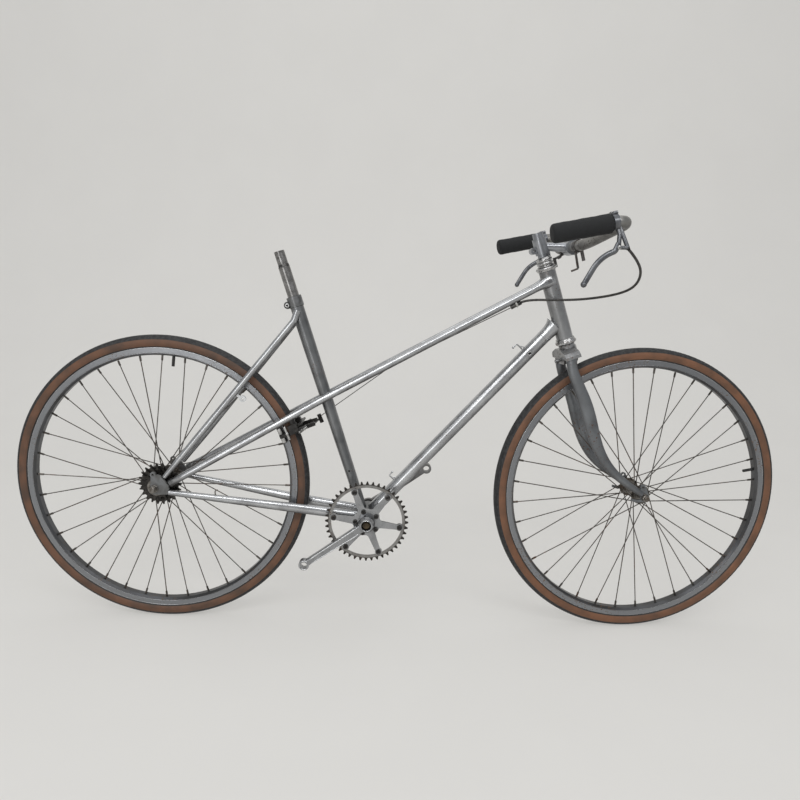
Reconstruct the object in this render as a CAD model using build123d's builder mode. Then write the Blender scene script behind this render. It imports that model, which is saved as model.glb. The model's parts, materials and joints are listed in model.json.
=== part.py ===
"""A stripped mixte bicycle: twin lateral tubes run from the head tube past the seat tube to the rear axle.

X points forward, Y to the rider's left and Z up, in millimetres. The origin is the top of the seat post.
"""

import os
from math import cos, hypot, pi, radians, sin, tan

from build123d import *

os.makedirs("parts", exist_ok=True)

# ---------------------------------------------------------------- layout, seen from the side
post_top_height = 610.1        # foot of the seat tube's axis to the top of the seat post
seat_angle = 71.8
bracket_ahead = 7.1            # bottom bracket ahead of the seat tube's axis
bracket_drop = 70.5            # bottom bracket below the wheel axles
rear_centre = 455.9            # rear axle to bottom bracket, measured level
wheelbase = 1061.4
head_angle = 71.0
fork_rake = 65.2               # front axle ahead of the steering axis
turned = 4.1                   # degrees that the steering stands to the left

# Wheels
rim_edge_radius = 298.0
rim_height = 16.5
rim_width = 23.0
rim_wall = 2.2
bead_depth = 6.0               # tyre's bead seat below the rim's edge
tyre_radius = 325.0
tyre_width = 33.0
tyre_flats = 12
bead_gap = 0.05                # tyre's foot to each rim flange
spoke_count = 36
crossings = 3
spoke_diameter = 2.0
spoke_flats = 6
spoke_inside = 2.5             # inner spokes leave this far inside their flange
spoke_outside = 4.2            # outer spokes start this far outside, as they slant in past the flange
nipple_diameter = 4.0
nipple_length = 12.0
valve_diameter = 6.5
valve_length = 23.0
flange_thickness = 2.6
hub_end = 4.0                  # barrel beyond each flange
axle_gap = 0.06                # hub bore to axle
hub_end_gap = 0.3              # turning hub to the fixed nuts beside it
rear_valve_angle = 83.8
front_valve_angle = 10.6
rear_flange_right = 18.0
rear_flange_left = 34.0
rear_flange_radius = 24.0
rear_barrel_radius = 15.0
rear_axle_diameter = 10.0
front_flange = 30.0
front_flange_radius = 21.0
front_barrel_radius = 13.0
front_axle_diameter = 9.0
axle_nut_diameter = 17.0
axle_nut_height = 8.0
axle_end = 5.0                 # thread showing past each axle nut

# Frame tubes
seat_tube_diameter = 28.6
seat_tube_foot_depth = 20.5    # squeezed fore and aft at its foot
seat_tube_foot_width = 34.0
seat_tube_length = 512.0
seat_tube_round_from = 400.0
down_tube_diameter = 28.6
down_tube_meets = 424.0        # height on the steering axis where the down tube's axis meets it
head_tube_diameter = 35.0
head_tube_bore = 30.0
head_tube_foot = 384.5         # height on the steering axis, above the front axle's foot
head_tube_length = 148.5
lateral_diameter = 16.0
lateral_head_offset = 13.0
lateral_meets = 512.0          # height on the steering axis where the lateral tubes pass it
lateral_gap = 0.3              # lateral tube to the seat tube's side
lateral_bend = 400.0
stay_diameter = 14.0
stay_tip = 9.5
stay_shoulder_drop = 49.0      # bend of each seat stay below the seat tube's top
stay_end_drop = 29.5
stay_shoulder_side = 19.0
stay_end_side = 17.0
tube_hole_height = 114.0       # small drain holes, up from the foot of each tube
tube_hole_diameter = 4.4
chain_stay_depth = 22.0
chain_stay_width = 17.0
chain_stay_tip = 12.0
shell_diameter = 40.0
shell_width = 68.0
shell_wall = 3.0
bearing_cup_flange = 4.0
dropout_offset = 62.5          # middle of each rear dropout plate from the bicycle's plane
dropout_thickness = 5.0

# Seat post and its clamp
post_diameter = 24.6
post_nose_diameter = 22.0
post_nose_length = 33.0
post_in_tube = 70.0
slide_gap = 0.05
collar_diameter = 32.5
collar_height = 22.0
clamp_eye_behind = 17.0
clamp_eye_drop = 14.0
clamp_eye_diameter = 15.4

# Steering
steerer_diameter = 25.4
cup_diameter = 45.0
cup_height = 9.0
lower_cup_height = 13.0
bearing_gap = 0.6
race_height = 6.0
crown_height = 22.0
crown_half_width = 48.0
crown_drop = 33.0              # top of the crown to the underside of its middle
blade_offset_top = 37.0
blade_offset_foot = 51.0
blade_set_back = 6.2
blade_depth = 28.0
blade_width = 19.0
blade_tip = 12.5
blade_bend_radius = 190.0
blade_bend_angle = 38.0
fork_dropout_thickness = 4.0
quill_diameter = 22.2
quill_top = 615.0
stem_collar_foot = 569.0
stem_collar_height = 34.0
stem_collar_diameter = 28.6
stem_reach = 66.0
stem_root_width = 17.0
stem_tip_width = 21.0
bar_clamp_diameter = 32.0
bar_clamp_width = 34.0
bar_diameter = 22.2
bar_bend_radius = 24.0
bar_straight = 80.0            # half of the bar's straight middle
left_rise = 0.055              # the left half is bent up by this share of its reach
grip_diameter = 35.0
grip_length = 110.0
foam_edge = 4.0                # rounding of a grip's ends
grip_cap = 5.0                 # rubber over the bar's open end
lever_at = 110.5               # middle of each lever's clamp, along the bar from its open end
lever_clamp_width = 10.0
lever_clamp_wall = 3.5
stop_length = 24.0
stop_diameter = 8.0
stop_band_diameter = 11.0
stop_behind = 94.0             # rear of the cable stop behind the lateral tube's head end
housing_diameter = 5.0
wire_diameter = 1.8
wire_gap = 0.3                 # inner wire's ends to the stop and the yoke
pad_thickness = 8.0
pad_gap = 2.5                  # brake pad to the rim's side

# Crankset and freewheel
crank_length = 162.0
crank_angle = 214.2
crank_face = 64.0              # inner face of each crank's pedal eye from the bicycle's plane
crank_boss_diameter = 36.0
crank_width_root = 18.5
crank_width_tip = 13.5
crank_flute_width = 7.0
crank_flute_depth = 2.0
dust_cap_diameter = 22.0       # open recess over the spindle, its cap missing
dust_cap_depth = 6.0
crank_nose_diameter = 28.0
crank_thickness = 14.0
pedal_eye_diameter = 23.0
pedal_hole_diameter = 14.2
spindle_diameter = 16.0
spindle_gap = 0.05
chain_pitch = 12.7
roller_radius = 4.0
chainring_teeth = 44
chainring_inner_radius = 78.2
chainring_thickness = 3.0
chainring_offset = 43.0
carrier_bolt_circle = 146.5
carrier_arms = 6
carrier_start = -8.0
carrier_thickness = 4.0
carrier_disc_diameter = 60.0
carrier_arm_root = 8.5         # half width of an arm at the disc
carrier_arm_fillet = 7.0
carrier_arm_tip = 5.5
carrier_pad_diameter = 15.5
inner_bolt_circle = 50.4
inner_bolts = 5
ring_bolt_diameter = 8.0
ring_bolt_head = 11.5
cog_teeth = (22, 19, 17, 15, 14)
cog_thickness = 2.2
cog_spacing = 5.4
first_cog_offset = 29.0
freewheel_neck_end = 27.0
freewheel_end = 53.0
freewheel_body_diameter = 44.0

seat_rad, head_rad = radians(seat_angle), radians(head_angle)
left = Vector(0, 1, 0)
seat_up = Vector(-cos(seat_rad), 0, sin(seat_rad))
seat_ahead = Vector(sin(seat_rad), 0, cos(seat_rad))
steer_up = Vector(-cos(head_rad), 0, sin(head_rad))
steer_ahead = Vector(sin(head_rad), 0, cos(head_rad))

seat_foot = seat_up * -post_top_height
bracket = seat_foot + seat_ahead * bracket_ahead
rear_axle = bracket + Vector(-rear_centre, 0, bracket_drop)
steer_foot = rear_axle + Vector(wheelbase, 0, 0) - steer_ahead * fork_rake
steering = Plane(origin=steer_foot, x_dir=steer_ahead.rotate(Axis((0, 0, 0), steer_up), turned), z_dir=steer_up)
right_face = Plane(origin=bracket, x_dir=(1, 0, 0), z_dir=(0, -1, 0))
sides = (-1, 1)                # right, left


def on_fork(ahead, side, up):
    """Point ahead of the steering axis, to its left, and up along it from the front axle's foot."""
    return steering.from_local_coords(Vector(ahead, side, up))


def on_axis(up):
    return steer_foot + steer_up * up


def up_seat(height):
    """Point on the seat tube's axis, this far up from its foot."""
    return seat_foot + seat_up * height


def from_axle(ahead, side, up):
    return rear_axle + Vector(ahead, side, up)


def rod(start, end, radius, mode=Mode.ADD):
    """Round bar from one point to another, in the sub-part being built."""
    with Locations(Plane(origin=start, z_dir=end - start)):
        Cylinder(radius, (end - start).length, align=(Align.CENTER, Align.CENTER, Align.MIN), mode=mode)


def cone(start, end, start_radius, end_radius):
    """Tapered round bar from one point to another, in the sub-part being built."""
    with Locations(Plane(origin=start, z_dir=end - start)):
        Cone(start_radius, end_radius, (end - start).length, align=(Align.CENTER, Align.CENTER, Align.MIN))


def prism(start, end, across_flats, flats):
    """Straight bar with flat sides from one point to another, in the sub-part being built."""
    with BuildSketch(Plane(origin=start, z_dir=end - start)) as section:
        RegularPolygon(across_flats / 2, flats, major_radius=False)
    extrude(section.sketch, amount=(end - start).length)


def save(sub_part, name):
    sub_part.part.label = name
    export_step(sub_part.part, f"parts/{name}.step")


# ---------------------------------------------------------------- head tube, bottom bracket and main tubes
head_top_height = head_tube_foot + head_tube_length
head_foot, head_top = on_axis(head_tube_foot), on_axis(head_top_height)
down_tube_head = on_axis(down_tube_meets)
shell_right, shell_left = bracket - left * shell_width / 2, bracket + left * shell_width / 2

with BuildPart() as head_tube:
    rod(head_foot, head_top, head_tube_diameter / 2)
    rod(head_foot, head_top, head_tube_bore / 2, Mode.SUBTRACT)
save(head_tube, "head_tube")

with BuildPart() as shell:
    rod(shell_right, shell_left, shell_diameter / 2)
    rod(shell_right, shell_left, shell_diameter / 2 - shell_wall, Mode.SUBTRACT)
save(shell, "bottom_bracket_shell")

with BuildPart() as bearing_cups:
    for side in sides:
        face = bracket + left * side * shell_width / 2
        rod(face - left * side * 12, face, shell_diameter / 2 - shell_wall)
        rod(face, face + left * side * bearing_cup_flange, shell_diameter / 2 - 1.5)
        rod(face - left * side * 13, face + left * side * 5, spindle_diameter / 2 + spindle_gap, Mode.SUBTRACT)
save(bearing_cups, "bearing_cups")

with BuildPart() as down_tube:
    rod(bracket, down_tube_head, down_tube_diameter / 2)
    rod(head_foot - steer_up * head_tube_diameter, head_top, head_tube_diameter / 2, Mode.SUBTRACT)
    rod(shell_right, shell_left, shell_diameter / 2, Mode.SUBTRACT)
    hole = bracket + (down_tube_head - bracket).normalized() * tube_hole_height
    rod(hole - left * down_tube_diameter, hole - left * down_tube_diameter / 4, tube_hole_diameter / 2,
        Mode.SUBTRACT)
save(down_tube, "down_tube")

seat_foot_plane = Plane(origin=seat_foot, x_dir=(0, 1, 0), z_dir=seat_up)
with BuildPart() as seat_tube:
    with BuildSketch(seat_foot_plane):
        Ellipse(seat_tube_foot_width / 2, seat_tube_foot_depth / 2)
    with BuildSketch(seat_foot_plane.offset(seat_tube_round_from)):
        Circle(seat_tube_diameter / 2)
    loft()
    rod(up_seat(seat_tube_round_from), up_seat(seat_tube_length), seat_tube_diameter / 2)
    rod(up_seat(seat_tube_length - post_in_tube - 5), up_seat(seat_tube_length), post_diameter / 2 + slide_gap,
        Mode.SUBTRACT)
    rod(shell_right, shell_left, shell_diameter / 2, Mode.SUBTRACT)
    rod(bracket, down_tube_head, down_tube_diameter / 2 + 0.05, Mode.SUBTRACT)
    hole = up_seat(tube_hole_height)
    rod(hole - left * seat_tube_diameter, hole - left * seat_tube_diameter / 4, tube_hole_diameter / 2,
        Mode.SUBTRACT)
save(seat_tube, "seat_tube")

lateral_side = seat_tube_diameter / 2 + lateral_diameter / 2 + lateral_gap


def lateral_line(side):
    """Corners of a lateral tube's centre line: head tube, seat tube, rear dropout."""
    return [on_axis(lateral_meets) + left * side * lateral_head_offset, from_axle(362.5, side * lateral_side, 201.7),
            from_axle(33, side * (dropout_offset - 1), 12.2)]


lateral_ends = lateral_line(-1)
for side, side_name in zip(sides, ("right", "left")):
    line = lateral_line(side)
    with BuildPart() as lateral_tube:
        with BuildLine():
            FilletPolyline(*line, radius=lateral_bend)
        with BuildSketch(Plane(origin=line[0], z_dir=line[1] - line[0])):
            Circle(lateral_diameter / 2)
        sweep()
        rod(head_foot, head_top, head_tube_diameter / 2, Mode.SUBTRACT)
    save(lateral_tube, f"lateral_tube_{side_name}")

with BuildPart() as bridges:
    for ahead, high, low in ((331, lateral_ends[1], lateral_ends[2]), (507, lateral_ends[0], lateral_ends[1])):
        middle = low + (high - low) * ((rear_axle.X + ahead - low.X) / (high.X - low.X))
        rod(Vector(middle.X, -lateral_side, middle.Z), Vector(middle.X, lateral_side, middle.Z), 6)
    for side in sides:
        line = lateral_line(side)
        with BuildLine():
            FilletPolyline(*line, radius=lateral_bend)
        with BuildSketch(Plane(origin=line[0], z_dir=line[1] - line[0])):
            Circle(lateral_diameter / 2)
        sweep(mode=Mode.SUBTRACT)
save(bridges, "tube_bridges")
wire_bend = Vector(middle.X, 8, middle.Z - 8.2)

# ---------------------------------------------------------------- stays and dropouts
def stay_end(side):
    """Upper end of a seat stay, beside the seat tube's top."""
    return up_seat(seat_tube_length - stay_end_drop) + seat_ahead * 1.5 + left * side * stay_end_side


with BuildPart() as seat_stays:
    for side in sides:
        foot = from_axle(22, side * dropout_offset, 26)
        shoulder = up_seat(seat_tube_length - stay_shoulder_drop) - seat_ahead * 13 + left * side * stay_shoulder_side
        waist = foot + (shoulder - foot) * 0.22
        cone(foot, waist, stay_tip / 2, stay_diameter / 2)
        rod(waist, shoulder, stay_diameter / 2)
        with Locations(shoulder):
            Sphere(stay_diameter / 2)
        rod(shoulder, stay_end(side), stay_diameter / 2)
    rod(up_seat(100), up_seat(seat_tube_length), seat_tube_diameter / 2, Mode.SUBTRACT)
    tab = Plane(origin=from_axle(186, -36, 196), x_dir=(1, 0, 0), z_dir=(0, -1, 0))
    with BuildSketch(tab):
        Circle(7)
        Circle(2.6, mode=Mode.SUBTRACT)
        with Locations((-12, 8)):
            Rectangle(20, 6, rotation=-35)
    extrude(amount=1.5, both=True)
save(seat_stays, "seat_stays")

with BuildPart() as chain_stays:
    for side in sides:
        foot = from_axle(30, side * dropout_offset, -8)
        waist = from_axle(308, side * 30.3, -49)
        root = from_axle(rear_centre - 6, side * 22, -bracket_drop + 3)
        with BuildSketch(Plane(origin=foot, x_dir=left, z_dir=waist - foot)):
            Ellipse(chain_stay_tip / 2 - 0.01, chain_stay_tip / 2)
        with BuildSketch(Plane(origin=waist, x_dir=left, z_dir=root - foot)):
            Ellipse(chain_stay_width / 2, chain_stay_depth / 2)
        with BuildSketch(Plane(origin=root, x_dir=left, z_dir=root - waist)):
            Ellipse(chain_stay_width / 2, chain_stay_depth / 2)
        loft(ruled=True)
    rod(shell_right, shell_left, shell_diameter / 2, Mode.SUBTRACT)
save(chain_stays, "chain_stays")

with BuildPart() as dropouts:
    for side in sides:
        plate = Plane(origin=from_axle(0, side * dropout_offset, 0), x_dir=(1, 0, 0), z_dir=(0, -1, 0))
        with BuildSketch(plate):
            with BuildLine():
                Polyline((-7, 16), (-6, 31), (7, 31), (14, 29), (30, 9), (32, -8), (27, -12), (-2, -13),
                         (-9, -5), close=True)
            make_face()
            with Locations((-2, 31)):
                Circle(6)
                Circle(2.6, mode=Mode.SUBTRACT)
            Circle(rear_axle_diameter / 2 + 0.1, mode=Mode.SUBTRACT)
        extrude(amount=dropout_thickness / 2, both=True)
    for side in sides:
        rod(from_axle(22, side * dropout_offset, 26), from_axle(80, side * 54, 98), stay_tip / 2, Mode.SUBTRACT)
        rod(from_axle(29, side * dropout_offset, -8), from_axle(90, side * 55.5, -16.4), chain_stay_tip / 2 + 0.4,
            Mode.SUBTRACT)
        rod(lateral_line(side)[2], lateral_line(side)[1], lateral_diameter / 2 + 0.1, Mode.SUBTRACT)
save(dropouts, "rear_dropouts")

# ---------------------------------------------------------------- seat post and clamp
with BuildPart() as seat_post:
    rod(up_seat(seat_tube_length - post_in_tube), up_seat(post_top_height - post_nose_length), post_diameter / 2)
    rod(up_seat(post_top_height - post_nose_length), up_seat(post_top_height), post_nose_diameter / 2)
save(seat_post, "seat_post")

clamp_eye = up_seat(seat_tube_length - clamp_eye_drop) - seat_ahead * clamp_eye_behind
with BuildPart() as seat_clamp:
    rod(up_seat(seat_tube_length - collar_height), up_seat(seat_tube_length), collar_diameter / 2)
    rod(clamp_eye - left * 10, clamp_eye + left * 10, clamp_eye_diameter / 2)
    rod(up_seat(seat_tube_length - collar_height - 20), up_seat(seat_tube_length), seat_tube_diameter / 2,
        Mode.SUBTRACT)
    for side in sides:
        rod(up_seat(seat_tube_length - stay_shoulder_drop) - seat_ahead * 13 + left * side * stay_shoulder_side,
            stay_end(side), stay_diameter / 2, Mode.SUBTRACT)
save(seat_clamp, "seat_clamp")

# ---------------------------------------------------------------- headset
with BuildPart() as cups:
    rod(head_top, head_top + steer_up * cup_height, cup_diameter / 2)
    rod(head_foot - steer_up * lower_cup_height, head_foot, cup_diameter / 2)
    rod(head_foot - steer_up * lower_cup_height, head_top + steer_up * cup_height, head_tube_bore / 2, Mode.SUBTRACT)
save(cups, "headset_cups")

# ---------------------------------------------------------------- rear axle
hub_right = rear_flange_right + hub_end
hub_left = rear_flange_left + hub_end
dropout_inner = dropout_offset - dropout_thickness / 2
dropout_outer = dropout_offset + dropout_thickness / 2
axle_reach = dropout_outer + axle_nut_height + axle_end
with BuildPart() as rear_axle_part:
    rod(from_axle(0, -axle_reach, 0), from_axle(0, axle_reach, 0), rear_axle_diameter / 2)
    for side, end in zip(sides, (freewheel_end, hub_left)):
        rod(from_axle(0, side * dropout_outer, 0), from_axle(0, side * (dropout_outer + axle_nut_height), 0),
            axle_nut_diameter / 2)
        rod(from_axle(0, side * (end + hub_end_gap), 0), from_axle(0, side * dropout_inner, 0), axle_nut_diameter / 2)
save(rear_axle_part, "rear_axle")


# ---------------------------------------------------------------- crankset
def toothed_outline(teeth):
    """Outline of a chain sprocket: straight flanks between each roller's root and a narrow tip."""
    step = 2 * pi / teeth
    root_radius = chain_pitch / 2 / sin(step / 2) - roller_radius
    tip_radius = chain_pitch / 2 * (0.6 + 1 / tan(step / 2)) - 0.8
    points = []
    for tooth in range(teeth):
        for share, radius in ((-0.30, root_radius), (-0.09, tip_radius), (0.09, tip_radius), (0.30, root_radius)):
            angle = (tooth + share) * step
            points.append((radius * cos(angle), radius * sin(angle)))
    Polyline(*points, close=True)


carrier_offset = chainring_offset + chainring_thickness
carrier_face = carrier_offset + carrier_thickness
with BuildPart() as chainring:
    with BuildSketch(right_face.offset(chainring_offset)):
        with BuildLine():
            toothed_outline(chainring_teeth)
        make_face()
        Circle(chainring_inner_radius, mode=Mode.SUBTRACT)
        with PolarLocations(carrier_bolt_circle / 2, carrier_arms, start_angle=carrier_start):
            Circle(carrier_pad_diameter / 2)
            Circle(ring_bolt_diameter / 2 + 0.1, mode=Mode.SUBTRACT)
    extrude(amount=chainring_thickness)
save(chainring, "chainring")

with BuildPart() as carrier:
    arm_end = carrier_bolt_circle / 2
    arm_root = carrier_disc_diameter / 2 - 4
    with BuildSketch(right_face.offset(carrier_offset)) as star:
        Circle(carrier_disc_diameter / 2)
        for arm in range(carrier_arms):
            with Locations(Location((0, 0, 0), (0, 0, carrier_start + 360 / carrier_arms * arm))):
                Polygon((arm_root, -carrier_arm_root), (arm_end, -carrier_arm_tip), (arm_end, carrier_arm_tip),
                        (arm_root, carrier_arm_root), align=None)
        roots = [corner for corner in star.vertices()
                 if abs(hypot(corner.X, corner.Y) - carrier_disc_diameter / 2) < 0.5]
        fillet(roots, carrier_arm_fillet)
        with PolarLocations(carrier_bolt_circle / 2, carrier_arms, start_angle=carrier_start):
            Circle(carrier_pad_diameter / 2)
            Circle(ring_bolt_diameter / 2 + 0.1, mode=Mode.SUBTRACT)
        with PolarLocations(inner_bolt_circle / 2, inner_bolts, start_angle=crank_angle - 180):
            Circle(3.1, mode=Mode.SUBTRACT)
        Circle(crank_boss_diameter / 2 + 0.1, mode=Mode.SUBTRACT)
    extrude(amount=carrier_thickness)
save(carrier, "chainring_carrier")

with BuildPart() as bolts:
    with BuildSketch(right_face.offset(chainring_offset)):
        with PolarLocations(carrier_bolt_circle / 2, carrier_arms, start_angle=carrier_start):
            Circle(ring_bolt_diameter / 2)
        with PolarLocations(inner_bolt_circle / 2, inner_bolts, start_angle=crank_angle - 180):
            Circle(3)
    extrude(amount=carrier_face - chainring_offset)
    with BuildSketch(right_face.offset(carrier_face)):
        with PolarLocations(carrier_bolt_circle / 2, carrier_arms, start_angle=carrier_start):
            Circle(ring_bolt_head / 2)
        with PolarLocations(inner_bolt_circle / 2, inner_bolts, start_angle=crank_angle - 180):
            Circle(5.3)
    extrude(amount=2.5)
    with BuildSketch(right_face.offset(chainring_offset - 2)):
        with PolarLocations(carrier_bolt_circle / 2, carrier_arms, start_angle=carrier_start):
            Circle(ring_bolt_head / 2)
    extrude(amount=2)
save(bolts, "chainring_bolts")


crank_outer = crank_face + crank_thickness
boss_face = crank_face + 8
for side, side_name in zip(sides, ("right", "left")):
    with BuildPart() as crank:
        turn = radians(crank_angle) if side < 0 else radians(crank_angle - 180)
        along = Vector(cos(turn), 0, sin(turn))
        out = left * side
        root = bracket + along * 8 + out * (crank_face - 1)
        tip = bracket + along * (crank_length - 8) + out * (crank_face + crank_thickness / 2)
        arm_axis = (tip - root).normalized()
        across = left.cross(arm_axis)
        with BuildSketch(Plane(origin=root, x_dir=across, z_dir=arm_axis)):
            RectangleRounded(crank_width_root, crank_thickness, 3)
        with BuildSketch(Plane(origin=tip, x_dir=across, z_dir=arm_axis)):
            RectangleRounded(crank_width_tip, crank_thickness, 3)
        loft()
        boss_foot = chainring_offset + 4 if side < 0 else 52
        rod(bracket + out * boss_foot, bracket + out * (crank_face - 2), crank_boss_diameter / 2)
        cone(bracket + out * (crank_face - 2), bracket + out * boss_face, crank_boss_diameter / 2,
             crank_nose_diameter / 2)
        eye = bracket + along * crank_length
        rod(eye + out * crank_face, eye + out * crank_outer, pedal_eye_diameter / 2)
        rod(eye + out * (crank_face - 1), eye + out * (crank_outer + 1), pedal_hole_diameter / 2, Mode.SUBTRACT)
        rod(bracket + out * 40, bracket + out * boss_face, spindle_diameter / 2 + spindle_gap, Mode.SUBTRACT)
        rod(bracket + out * (boss_face - dust_cap_depth), bracket + out * (boss_face + 20), dust_cap_diameter / 2,
            Mode.SUBTRACT)
        outward = across.cross(arm_axis) * -side
        face = (root + tip) / 2 + outward * crank_thickness / 2
        with BuildSketch(Plane(origin=face, x_dir=arm_axis, z_dir=outward)):
            SlotOverall(crank_length * 0.62, crank_flute_width)
        extrude(amount=-crank_flute_depth, mode=Mode.SUBTRACT)
        if side < 0:
            with BuildSketch(right_face.offset(chainring_offset - 1)):
                Circle(crank_boss_diameter / 2 + 5)
                with PolarLocations(inner_bolt_circle / 2, inner_bolts, start_angle=crank_angle - 180):
                    Circle(7)
                with PolarLocations(inner_bolt_circle / 2, inner_bolts, start_angle=crank_angle - 180):
                    Circle(3.1, mode=Mode.SUBTRACT)
                Circle(spindle_diameter / 2 + spindle_gap, mode=Mode.SUBTRACT)
            extrude(amount=carrier_offset - chainring_offset + 1)
    save(crank, f"crank_{side_name}")

with BuildPart() as spindle:
    spindle_end = crank_face + 3
    rod(bracket - left * spindle_end, bracket + left * spindle_end, spindle_diameter / 2)
    for side in sides:
        cap = bracket + left * side * spindle_end
        rod(cap, cap + left * side * 3, 7)
save(spindle, "crank_spindle")


# ---------------------------------------------------------------- wheels
def wheel_parts(name, centre, across, flange_right, flange_left, flange_radius, barrel_radius, axle_diameter,
                valve_angle):
    """Tyre, rim, spokes, hub and valve of one wheel about its axle, which points along across."""
    upward = Vector(0, 0, 1)
    ahead = across.cross(upward).normalized()
    skyward = ahead.cross(across)
    section = Plane(origin=centre, x_dir=ahead, z_dir=skyward)
    axle = Axis(centre, across)
    bead_radius = rim_edge_radius - bead_depth
    tyre_middle = tyre_radius - tyre_width / 2
    half = rim_width / 2
    inside = half - rim_wall
    rim_foot = rim_edge_radius - rim_height

    def about(angle):
        return ahead * cos(angle) + skyward * sin(angle)

    with BuildPart() as tyre:
        with BuildSketch(section):
            with Locations((tyre_middle, 0)):
                RegularPolygon(tyre_width / 2, tyre_flats, major_radius=False, rotation=180 / tyre_flats)
            with Locations((rim_edge_radius / 2, 0)):
                Rectangle(rim_edge_radius, 2 * tyre_width, mode=Mode.SUBTRACT)
            with Locations(((bead_radius + tyre_middle) / 2, 0)):
                Rectangle(tyre_middle - bead_radius, 2 * (inside - bead_gap))
        revolve(axis=axle)
    save(tyre, f"{name}_tyre")

    with BuildPart() as rim:
        with BuildSketch(section):
            with BuildLine():
                Polyline((rim_edge_radius, inside), (rim_edge_radius, half), (rim_foot + 4, half),
                         (rim_foot, half - 5), (rim_foot, 5 - half), (rim_foot + 4, -half),
                         (rim_edge_radius, -half), (rim_edge_radius, -inside), (bead_radius, -inside),
                         (bead_radius - 3, 4 - inside), (bead_radius - 3, inside - 4), (bead_radius, inside),
                         close=True)
            make_face()
        revolve(axis=axle)
    save(rim, f"{name}_rim")

    with BuildPart() as spokes:
        for index in range(spoke_count):
            side, flange = (1, flange_left) if index % 2 else (-1, -flange_right)
            lead = 1 if index // 2 % 2 == 0 else -1
            rim_angle = radians(valve_angle) + 2 * pi * (index + 0.5) / spoke_count
            hub_angle = rim_angle + lead * 4 * pi * crossings / spoke_count
            beside = flange + side * (spoke_outside if lead > 0 else -spoke_inside)
            hub_spot = centre + across * beside + about(hub_angle) * (flange_radius - 3.5)
            rim_spot = centre + about(rim_angle) * (rim_foot - 0.1)
            inward = (hub_spot - rim_spot).normalized()
            prism(rim_spot + inward * nipple_length, hub_spot, spoke_diameter, spoke_flats)
            prism(rim_spot + inward * 0.6, rim_spot + inward * nipple_length, nipple_diameter, spoke_flats)
    save(spokes, f"{name}_spokes")

    with BuildPart() as hub:
        with BuildSketch(section):
            with BuildLine():
                right, lefthand = -flange_right, flange_left
                edge = flange_thickness / 2
                Polyline((axle_diameter / 2 + axle_gap, right - hub_end), (barrel_radius, right - hub_end),
                         (barrel_radius, right - edge), (flange_radius, right - edge), (flange_radius, right + edge),
                         (barrel_radius, right + edge), (barrel_radius, lefthand - edge),
                         (flange_radius, lefthand - edge), (flange_radius, lefthand + edge),
                         (barrel_radius, lefthand + edge), (barrel_radius, lefthand + hub_end),
                         (axle_diameter / 2 + axle_gap, lefthand + hub_end), close=True)
            make_face()
        revolve(axis=axle)
    save(hub, f"{name}_hub")

    with BuildPart() as valve:
        out = about(radians(valve_angle))
        rod(centre + out * (rim_foot - valve_length), centre + out * (rim_foot - 0.1), valve_diameter / 2)
    save(valve, f"{name}_valve")


front_axle_middle = on_fork(fork_rake, 0, 0)
wheel_parts("rear", rear_axle, left, rear_flange_right, rear_flange_left, rear_flange_radius, rear_barrel_radius,
            rear_axle_diameter, rear_valve_angle)
wheel_parts("front", front_axle_middle, steering.y_dir, front_flange, front_flange, front_flange_radius,
            front_barrel_radius, front_axle_diameter, front_valve_angle)

with BuildPart() as freewheel:
    rod(from_axle(0, -hub_right, 0), from_axle(0, -freewheel_neck_end, 0), rear_barrel_radius)
    rod(from_axle(0, -freewheel_neck_end, 0), from_axle(0, -freewheel_end, 0), freewheel_body_diameter / 2)
    for index, teeth in enumerate(cog_teeth):
        middle = first_cog_offset + index * cog_spacing
        with BuildSketch(Plane(origin=rear_axle, x_dir=(1, 0, 0), z_dir=(0, -1, 0)).offset(
                middle - cog_thickness / 2)):
            with BuildLine():
                toothed_outline(teeth)
            make_face()
        extrude(amount=cog_thickness)
    rod(from_axle(0, -hub_right, 0), from_axle(0, -freewheel_end, 0), rear_axle_diameter / 2 + axle_gap,
        Mode.SUBTRACT)
save(freewheel, "freewheel")

# ---------------------------------------------------------------- fork
race_top = head_tube_foot - lower_cup_height - bearing_gap
crown_top = race_top - race_height
socket_foot = crown_top - crown_height
stack_foot = head_top_height + cup_height + bearing_gap
stack_top = stem_collar_foot - 6

with BuildPart() as crown:
    with BuildSketch(Plane(origin=on_fork(-blade_set_back, 0, 0), x_dir=steering.y_dir, z_dir=steering.x_dir)):
        with BuildLine():
            Polyline((16, crown_top), (crown_half_width - 6, socket_foot + 13), (crown_half_width, socket_foot + 6),
                     (crown_half_width, socket_foot), (27, socket_foot), (18, crown_top - crown_drop),
                     (-18, crown_top - crown_drop), (-27, socket_foot), (-crown_half_width, socket_foot),
                     (-crown_half_width, socket_foot + 6), (6 - crown_half_width, socket_foot + 13),
                     (-16, crown_top), close=True)
        make_face()
    extrude(amount=16, both=True)
    rod(on_fork(0, 0, crown_top - 12), on_fork(0, 0, crown_top), 19)
    rod(on_fork(0, 0, crown_top), on_fork(0, 0, race_top), 17)
    rod(on_fork(0, 0, crown_top - 12), on_fork(0, 0, stack_top), steerer_diameter / 2)
    pin_height = crown_top - crown_drop + 9
    rod(on_fork(-34, 0, pin_height), on_fork(24, 0, pin_height), 3)
    rod(on_fork(-32, 0, pin_height), on_fork(-26, 0, pin_height), 5)
save(crown, "fork_crown")

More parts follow.
